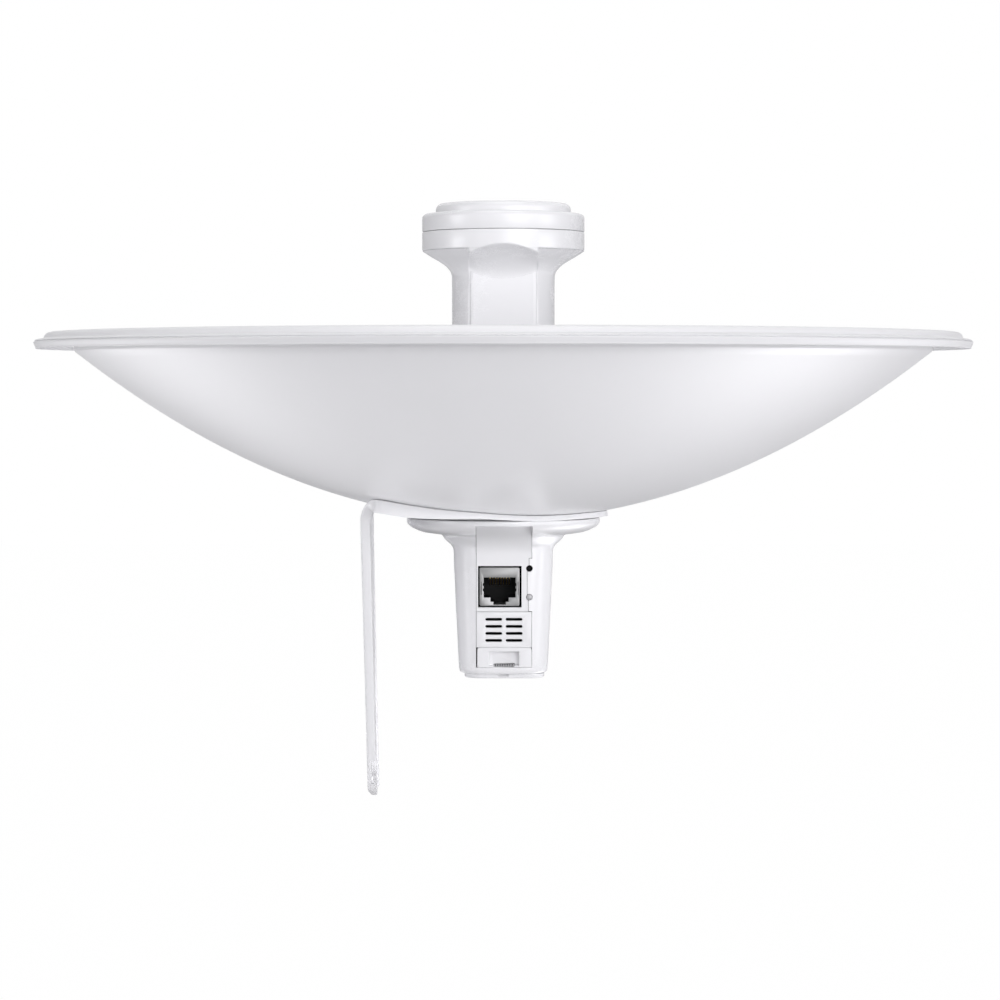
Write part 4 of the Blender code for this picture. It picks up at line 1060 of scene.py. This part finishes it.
def build_housing(sizes):
    shell = build_housing_body()
    outline = [(0.0, -56.4), (FACE + 0.9, -56.4), (FACE + 0.35, -56.2), (FACE + 0.08, -55.8), (FACE, -55.3)]
    sweep = face_sweep(FACE, RIM_FRONT, RIM_Z)
    outline += sweep
    outline += [(-34.5, -0.55), (-33.0, -0.7), (-28.0, -1.4), (-16.0, -2.8), (0.0, -3.4)]
    front = side_cut("front_face", outline, -FACE_HALF, FACE_HALF)

    def on_front(place):
        return place.y < FACE + 0.01 and (place.z < SWEEP_Z or min(
            abs(place.y - y) + abs(place.z - z) for y, z in sweep) < 0.02)

    round_edges(front, 2.7, 8, lambda a, b: abs(abs(a.x) - FACE_HALF) < 0.01 and abs(a.x - b.x) < 0.01
                and on_front(a) and on_front(b))
    combine(front, rod("flange_reach", FLANGE, -60.0, 5.0, sizes.feed_segments), "INTERSECT")
    combine(shell, front, "UNION")

    window = [(WINDOW_LEFT, -0.95), (WINDOW_LEFT, WINDOW_FOOT), (WINDOW_RIGHT, WINDOW_FOOT),
              (WINDOW_RIGHT, STEP_FOOT)]
    window += list(WINDOW_STEPS) + [(WINDOW_RIGHT, STEP_TOP), (WINDOW_RIGHT, -0.95)]
    combine(shell, front_cut("window", window, -60.0, -1.5))
    combine(shell, dot_cutter())
    finish_piece(shell, FINISHES["plastic"], "white_plastic", "housing_shell", angle=28.0)
    # Painted shade: the walls deep inside the window get the near-black shade finish.
    paint_shade_on(shell, FINISHES["shade"], lambda place, normal: WINDOW_LEFT - 0.1 < place.x < WINDOW_RIGHT + 0.1
           and WINDOW_FOOT - 0.1 < place.z < -5.0 and -14.2 < place.y < -1.4
           and not (abs(normal.y) < 0.5 and place.y < -13.0))


def dot_cutter():
    """The holes of the reset key and the lamp lens as one tool."""
    tool, other = (front_cut(name, arc(DOT_X, z, DOT_RADIUS, DOT_RADIUS, 0.0, 345.0, 23), -30.0, -11.0)
                   for name, z in (("dot_holes", BUTTON_Z), ("dot_holes_low", LENS_Z)))
    only(tool)
    other.select_set(True)
    bpy.ops.object.join()
    return tool


def build_port_cover(sizes):
    seam = sizes.seam / MM
    outline = [(-15.4, -33.65), (FACE + 0.02, -33.65)] + face_sweep(FACE + 0.02, RIM_FRONT + 0.02, -0.98)
    outline += [(-24.0, -0.98), (-15.4, -9.0)]
    item = side_cut("port_cover", outline, WINDOW_LEFT + seam, WINDOW_RIGHT - seam)
    combine(item, rod("flange_reach", FLANGE - 0.1, -60.0, 5.0, 128), "INTERSECT")
    step = [(x - seam, z) for x, z in WINDOW_STEPS]
    step = [(step[0][0], STEP_FOOT - 3.0)] + step[1:-1] + [(step[-1][0], STEP_TOP + seam)]
    step += [(WINDOW_RIGHT + 3.0, STEP_TOP + seam), (WINDOW_RIGHT + 3.0, STEP_FOOT - 3.0)]
    combine(item, front_cut("step", step, -60.0, 0.0))
    combine(item, block("socket_opening", (-9.45, -40.0, -32.1), (6.8, 0.0, -16.6)))
    combine(item, dot_cutter())
    soften(item, 0.6 * sizes.mould_edge / MM, 3, 40.0)
    finish_piece(item, FINISHES["panel"], "white_plastic", "port_panel", angle=12.0)


def build_vent_cover(sizes):
    seam = sizes.seam / MM
    item = block("vent_cover", (WINDOW_LEFT + seam, FACE + 0.06, -47.05),
                 (WINDOW_RIGHT - seam, -15.4, -33.82))
    for row in (-36.56, -39.2, -41.84, -44.46):
        for column in (-3.6, 4.0):
            combine(item, front_cut("vent_slot", long_hole(column, row, 2.6, 0.55, 8), -25.0, -10.0))
    soften(item, 0.12, 2, 40.0)
    finish_piece(item, FINISHES["panel"], "white_plastic", "vent_panel", angle=30.0)


def build_latch(sizes):
    """Sliding latch: rounded frame, finger recess open to its foot, and a ribbed grip."""
    low, high, foot, top = WINDOW_LEFT + 0.45, WINDOW_RIGHT - 0.12, WINDOW_FOOT + 0.1, -47.12
    corners = arc(high - 1.0, top - 1.0, 1.0, 1.0, 0.0, 90.0, 6)
    corners += arc(low + 1.0, top - 1.0, 1.0, 1.0, 90.0, 180.0, 6)
    corners += [(low, foot), (high, foot)]
    item = front_cut("latch_slide", corners, FACE + 0.04, -13.0)
    floor = [(-5.2, -20.0), (-5.2, -16.6), (-4.2, -16.0), (5.85, -14.6), (5.85, -20.0)]
    combine(item, raised("finger_recess", [(x, y, -53.9) for x, y in floor], (0.0, 0.0, 5.2)))
    combine(item, block("grip_slot", (-3.55, -20.0, -54.4), (4.1, -14.0, -53.35)))
    soften(item, sizes.mould_edge / MM, 3, 40.0)
    for number in range(12):
        x = -3.3 + 0.64 * number
        rib = block("grip_rib", (x, -16.2, -54.3), (x + 0.2, -13.6, -53.45))
        combine(item, rib, "UNION")
    finish_piece(item, FINISHES["panel"], "white_plastic", "latch_button", angle=30.0)
    # Painted shade: the floor of the grip slot behind the ribs gets the near-black shade finish.
    paint_shade_on(item, FINISHES["shade"], lambda place, normal:
           -3.6 < place.x < 4.15 and -54.45 < place.z < -53.3 and place.y > -15.4)


def build_tail_cap(sizes):
    item = rounded_box("tail_plug", 15.0, 14.9, 6.5, -57.3, 10)
    bpy.ops.mesh.edge_face_add()
    half = 15.0
    for inset, drop in ((0.0, 1.1), (0.12, 0.3), (0.3, 0.2)):
        extrude(0.0, 0.0, -drop)
        share = (half - inset) / half
        bpy.ops.transform.resize(value=(share, share, 1.0), center_override=(0.0, 0.0, 0.0))
        half -= inset
    bpy.ops.mesh.inset(thickness=1.2 * MM, depth=0.0)
    bpy.ops.transform.translate(value=(0.0, 0.0, 0.35 * MM))
    face_out()
    bpy.ops.mesh.select_all(action="SELECT")
    bpy.ops.transform.translate(value=(0.4 * MM, 0.0, 0.0))
    calm()
    combine(item, block("pry_notch", (-2.0, -30.0, -58.2), (2.0, -13.4, -55.0)))
    finish_piece(item, FINISHES["plastic"], "white_plastic", "tail_cap", angle=30.0)


# Socket, button and lamp

JACK_X = -1.4
JACK_HALF = 7.45
JACK_TOP = -17.25
JACK_FOOT = -31.5
JACK_FRONT = -17.35
JACK_BACK = -2.6
MOUTH_TOP = -20.9
PITCH = 1.02


def mouth_outline(grow=0.0):
    """Plug opening (x, z) with its two-step key and the side nubs."""
    right = [(5.95, MOUTH_TOP), (5.95, -22.9), (6.3, -23.2), (6.3, -24.0), (5.95, -24.2), (5.95, -24.9),
             (6.3, -25.2), (6.3, -25.9), (5.95, -26.2), (5.95, -28.4), (3.4, -28.4), (3.4, -30.0),
             (2.3, -30.0), (2.3, -31.1)]
    outline = [(JACK_X + x + (grow if x > 3 else 0.0), z) for x, z in right]
    outline += [(JACK_X - x - (grow if x > 3 else 0.0), z) for x, z in reversed(right)]
    return outline


def build_socket(sizes):
    low = (JACK_X - JACK_HALF, JACK_FRONT, JACK_FOOT)
    high = (JACK_X + JACK_HALF, JACK_BACK, JACK_TOP)
    wall = 0.4
    shield = block("jack_shell", low, high)
    round_edges(shield, 0.6, 4, lambda a, b: abs(a.y - b.y) > 5.0)
    round_edges(shield, 0.55, 1, lambda a, b:
                min(a.x, b.x) > high[0] - 0.01 and max(a.y, b.y) < low[1] + 0.01)
    combine(shield, block("hollow", (low[0] + wall, low[1] + wall, low[2] + wall),
                          (high[0] - wall, high[1] + 5.0, high[2] - wall)))
    combine(shield, front_cut("mouth", mouth_outline(), JACK_FRONT - 3.0, JACK_FRONT + 3.0))
    for side in (-1.0, 1.0):
        x = JACK_X + side * 6.9
        slit = [(x - 0.14, -22.4), (x + 0.14, -22.4), (x + 0.14, -27.4), (x - 0.14, -27.4)]
        combine(shield, front_cut("spring_slit", slit, JACK_FRONT - 1.0, JACK_FRONT + 1.0))
    soften(shield, 0.1, 2, 45.0)
    finish_piece(shield, FINISHES["nickel"], "shield_metal", "jack_shield", angle=30.0)

    margin = wall + 0.08
    insert = block("jack_body", (low[0] + margin, low[1] + margin, low[2] + margin),
                   (high[0] - margin, high[1], high[2] - margin))
    combine(insert, front_cut("plug_room", mouth_outline(0.35), JACK_FRONT - 3.0, JACK_BACK - 2.4))
    for number in range(9):
        x = JACK_X + (number - 4) * PITCH
        comb = block("comb_wall", (x - 0.2, -16.6, MOUTH_TOP - 1.0), (x + 0.2, -6.0, MOUTH_TOP + 0.3))
        combine(insert, comb, "UNION")
    finish_piece(insert, FINISHES["black"], "black_plastic", "jack_insert", angle=30.0)

    for number in range(8):
        centre = JACK_X + (number - 3.5) * PITCH
        build_contact("spring_contact_%d" % (number + 1), centre, "contact_%d" % (number + 1))


def build_contact(name, centre, node):
    """Spring wire: drawn as a bent side view, extruded, then rounded all over."""
    outline = [(y, MOUTH_TOP - drop) for y, drop in (
        (-16.0, 0.15), (-15.2, 0.15), (-14.7, 0.3), (-10.6, 1.85), (-7.2, 3.1), (-7.0, 3.4), (-10.6, 2.15),
        (-14.8, 0.6), (-15.3, 0.45), (-16.0, 0.45))]
    item = side_cut(name, outline, centre - 0.17, centre + 0.17)
    soften(item, 0.07, 2, 40.0)
    finish_piece(item, FINISHES["gold"], "contact_gold", node)


def build_indicators(sizes):
    """Recessed reset key and the domed lens of the status lamp."""
    for name, z, front, dome, finish, slot, node in (
            ("reset_key", BUTTON_Z, -15.4, 0.1, "black", "black_plastic", "reset_button"),
            ("lamp_lens", LENS_Z, -17.35, 0.3, "lens", "lens_grey", "status_lens")):
        radius = DOT_RADIUS - 0.14
        outline = arc(DOT_X, z, radius, radius, 0.0, 345.0, 23)
        item = trace(name, [(x, -11.2, height) for x, height in outline])
        bpy.ops.mesh.edge_face_add()
        extrude(0.0, front + 11.2, 0.0)
        for share, rise in ((0.93, 0.35), (0.9, 0.3), (0.82, 0.2), (0.6, 0.15)):
            extrude(0.0, -rise * dome, 0.0)
            bpy.ops.transform.resize(value=(share, 1.0, share), center_override=(DOT_X * MM, 0.0, z * MM))
        face_out()
        calm()
        finish_piece(item, FINISHES[finish], slot, node)


# Studio

WHITE = (1.0, 1.0, 1.0, 1.0)


def build_floor():
    calm()
    bpy.ops.mesh.primitive_grid_add(x_subdivisions=8, y_subdivisions=8, size=24.0,
                                    location=(0.0, 0.0, CAD_LOW.z - FLOOR_DROP))
    floor = bpy.context.object
    floor.name = floor.data.name = "studio_floor"
    material = bpy.data.materials.new("pale_floor")
    material.use_nodes = True
    tree = material.node_tree
    shader = tree.nodes["Principled BSDF"]
    place = tree.nodes.new("ShaderNodeTexCoord").outputs["Object"]
    cloudy = add_noise(tree, place, 3.0, 4.0)
    ramp = add_node(tree, "ShaderNodeMapRange", To_Min=0.58, To_Max=0.72)
    tree.links.new(cloudy, ramp.inputs["Value"])
    tree.links.new(ramp.outputs["Result"], shader.inputs["Roughness"])
    set_inputs(shader, {"Base Color": (0.9, 0.9, 0.9, 1.0), "Specular IOR Level": 0.1})
    floor.data.materials.append(material)
    return tree, shader


def light_floor(tree, shader):
    """The floor is plain white to the camera above it and lets the surroundings light the object."""
    white = add_node(tree, "ShaderNodeEmission", Color=WHITE, Strength=1.0)
    paper = add_node(tree, "ShaderNodeMixShader", Fac=0.995)
    tree.links.new(shader.outputs[0], paper.inputs[1])
    tree.links.new(white.outputs[0], paper.inputs[2])
    clear = tree.nodes.new("ShaderNodeBsdfTransparent")
    path = tree.nodes.new("ShaderNodeLightPath")
    side = tree.nodes.new("ShaderNodeNewGeometry")
    front = add_math(tree, "SUBTRACT", path.outputs["Is Camera Ray"], side.outputs["Backfacing"], True)
    choose = tree.nodes.new("ShaderNodeMixShader")
    tree.links.new(front, choose.inputs["Fac"])
    tree.links.new(clear.outputs[0], choose.inputs[1])
    tree.links.new(paper.outputs[0], choose.inputs[2])
    tree.links.new(choose.outputs[0], tree.nodes["Material Output"].inputs["Surface"])


def add_softbox(name, place, size, power, tint):
    """Square light that faces the middle of the object."""
    calm()
    bpy.ops.object.light_add(type="AREA", location=place)
    lamp = bpy.context.object
    lamp.name = lamp.data.name = name
    lamp.data.shape = "SQUARE"
    lamp.data.size = size
    lamp.data.energy = power
    lamp.data.color = tint
    aim = PLACE + Vector((0.0, 0.0, 0.03)) - Vector(place)
    lamp.rotation_euler = aim.to_track_quat("-Z", "Y").to_euler()
    return lamp


# Turn from the camera's side towards the right and rise, in degrees; focus; strength
GLOWS = ((-30.0, 12.0, 24.0, 1.3), (15.0, 6.0, 24.0, 4.4), (32.0, 4.0, 24.0, 2.9),
         (64.0, 2.0, 50.0, 6.0), (-68.0, 2.0, 50.0, 6.0),
         (-105.0, -32.0, 24.0, 2.7), (-135.0, -34.0, 24.0, 3.5), (120.0, -45.0, 24.0, 7.0),
         (55.0, -35.0, 24.0, 0.3), (0.0, -75.0, 4.0, 0.17), (180.0, 42.0, 4.0, 1.1))


def make_glow_group():
    """Brightness of the surroundings in a direction: a low base and soft panels round the object."""
    group, enter, leave = effect_group("studio_glow", (("Base", 0.12), ("Panels", 1.0)), ("Strength",))
    direction = group.nodes.new("ShaderNodeTexCoord").outputs["Generated"]
    total = enter.outputs["Base"]
    for turn, rise, focus, strength in GLOWS:
        turn, rise = math.radians(turn), math.radians(rise)
        towards = group.nodes.new("ShaderNodeVectorMath")
        towards.operation = "DOT_PRODUCT"
        group.links.new(direction, towards.inputs[0])
        towards.inputs[1].default_value = (
            math.cos(rise) * math.sin(turn), -math.cos(rise) * math.cos(turn), math.sin(rise))
        off = add_math(group, "SUBTRACT", towards.outputs["Value"], 1.0)
        soft = add_math(group, "EXPONENT", add_math(group, "MULTIPLY", off, focus), 0.0)
        panel = add_math(group, "MULTIPLY", soft, strength)
        panel = add_math(group, "MULTIPLY", panel, enter.outputs["Panels"])
        total = add_math(group, "ADD", total, panel)
    group.links.new(total, leave.inputs["Strength"])
    return group


def build_world(base, panels):
    world = bpy.data.worlds.new("studio_surroundings")
    bpy.context.scene.world = world
    world.use_nodes = True
    tree = world.node_tree
    tree.nodes.clear()
    output = tree.nodes.new("ShaderNodeOutputWorld")
    seen = add_node(tree, "ShaderNodeBackground", Color=WHITE, Strength=1.0)
    lit = add_node(tree, "ShaderNodeBackground", Color=(0.985, 0.98, 1.0, 1.0))
    glow = use_group(tree, make_glow_group(), Base=base, Panels=panels)
    tree.links.new(glow.outputs["Strength"], lit.inputs["Strength"])
    path = tree.nodes.new("ShaderNodeLightPath")
    mix = tree.nodes.new("ShaderNodeMixShader")
    tree.links.new(path.outputs["Is Camera Ray"], mix.inputs["Fac"])
    tree.links.new(lit.outputs[0], mix.inputs[1])
    tree.links.new(seen.outputs[0], mix.inputs[2])
    tree.links.new(mix.outputs[0], output.inputs["Surface"])


def build_camera():
    calm()
    place = PLACE + Vector((CAMERA_X, -CAMERA_DISTANCE, CAMERA_HEIGHT)) * MM
    bpy.ops.object.camera_add(location=place, rotation=(math.radians(90.0 - CAMERA_PITCH), 0.0, 0.0))
    camera = bpy.context.object
    camera.name = camera.data.name = "studio_camera"
    camera.data.lens = CAMERA_LENS
    camera.data.sensor_width = SENSOR
    camera.data.clip_start = 0.01
    camera.data.clip_end = 100.0
    bpy.context.scene.camera = camera


# Operators, one for each piece or group of like pieces

class PieceOperator:
    """What the building operators share."""

    bl_options = {"REGISTER", "UNDO"}
    steps = ()

    def execute(self, context):
        make_finishes(context.scene.antenna_colours)
        for step in self.steps:
            step(context.scene.antenna_sizes)
        return {"FINISHED"}


class ANTENNA_OT_reflector(PieceOperator, bpy.types.Operator):
    """Spin the pressed bowl with its bead and rolled lip"""

    bl_idname = "antenna.reflector"
    bl_label = "Reflector"
    steps = (build_reflector,)


class ANTENNA_OT_bracket(PieceOperator, bpy.types.Operator):
    """Wrap the bracket's plate and arm and cut their holes"""

    bl_idname = "antenna.bracket"
    bl_label = "Bracket"
    steps = (build_bracket,)


class ANTENNA_OT_hub(PieceOperator, bpy.types.Operator):
    """Build the collar and the four screws inside the bowl"""

    bl_idname = "antenna.hub"
    bl_label = "Hub collar and screws"
    steps = (build_hub_collar, build_hub_screws)


class ANTENNA_OT_feed(PieceOperator, bpy.types.Operator):
    """Build the feed's neck, its front cover, the drum and the top disc"""

    bl_idname = "antenna.feed"
    bl_label = "Feed"
    steps = (build_feed_neck, build_feed_drum)


class ANTENNA_OT_housing(PieceOperator, bpy.types.Operator):
    """Build the radio housing with its flange, window and tail plug"""

    bl_idname = "antenna.housing"
    bl_label = "Radio housing"
    steps = (build_housing, build_tail_cap)


class ANTENNA_OT_covers(PieceOperator, bpy.types.Operator):
    """Build the window's port cover, vent cover and latch"""

    bl_idname = "antenna.covers"
    bl_label = "Window covers"
    steps = (build_port_cover, build_vent_cover, build_latch)


class ANTENNA_OT_socket(PieceOperator, bpy.types.Operator):
    """Build the network socket with its shield, body and contacts"""

    bl_idname = "antenna.socket"
    bl_label = "Network socket"
    steps = (build_socket,)


class ANTENNA_OT_indicators(PieceOperator, bpy.types.Operator):
    """Build the reset key and the status lamp's lens"""

    bl_idname = "antenna.indicators"
    bl_label = "Key and lamp"
    steps = (build_indicators,)


class ANTENNA_OT_stage(bpy.types.Operator):
    """Set the floor, the surroundings, the lights and the camera"""

    bl_idname = "antenna.stage"
    bl_label = "Studio"
    bl_options = {"REGISTER", "UNDO"}

    def execute(self, context):
        light = context.scene.antenna_light
        tree, shader = build_floor()
        light_floor(tree, shader)
        build_world(light.base, light.panels)
        add_softbox("softbox_top", PLACE + Vector((0.0, -0.3, 1.5)), 1.0, light.top, (1.0, 1.0, 1.0))
        build_camera()
        context.scene.view_settings.view_transform = "Standard"
        return {"FINISHED"}


BUILD_STEPS = (ANTENNA_OT_reflector, ANTENNA_OT_bracket, ANTENNA_OT_hub, ANTENNA_OT_feed,
               ANTENNA_OT_housing, ANTENNA_OT_covers, ANTENNA_OT_socket, ANTENNA_OT_indicators,
               ANTENNA_OT_stage)


class ANTENNA_PT_panel(bpy.types.Panel):
    """Lists the building steps and the settings"""

    bl_idname = "ANTENNA_PT_panel"
    bl_label = "Parabolic dish antenna"
    bl_space_type = "VIEW_3D"
    bl_region_type = "UI"
    bl_category = "Antenna"

    def draw(self, context):
        scene = context.scene
        for settings in (scene.antenna_sizes, scene.antenna_colours, scene.antenna_light):
            column = self.layout.column(align=True)
            for name in settings.__annotations__:
                column.prop(settings, name)
        for step in BUILD_STEPS:
            self.layout.operator(step.bl_idname)


SETTINGS = (("antenna_sizes", AntennaSizes), ("antenna_colours", AntennaColours),
            ("antenna_light", AntennaLight))
CLASSES = tuple(group for _, group in SETTINGS) + BUILD_STEPS + (ANTENNA_PT_panel,)


def register():
    for item in CLASSES:
        bpy.utils.register_class(item)
    for name, group in SETTINGS:
        setattr(bpy.types.Scene, name, bpy.props.PointerProperty(type=group))


def unregister():
    for name, _ in SETTINGS:
        delattr(bpy.types.Scene, name)
    for item in reversed(CLASSES):
        bpy.utils.unregister_class(item)


def main():
    register()
    for old in [item for item in bpy.data.objects if item.type in ("LIGHT", "CAMERA")]:
        bpy.data.objects.remove(old, do_unlink=True)
    bpy.ops.antenna.reflector()
    bpy.ops.antenna.bracket()
    bpy.ops.antenna.hub()
    bpy.ops.antenna.feed()
    bpy.ops.antenna.housing()
    bpy.ops.antenna.covers()
    bpy.ops.antenna.socket()
    bpy.ops.antenna.indicators()
    bpy.ops.antenna.stage()


if __name__ == "__main__":
    main()
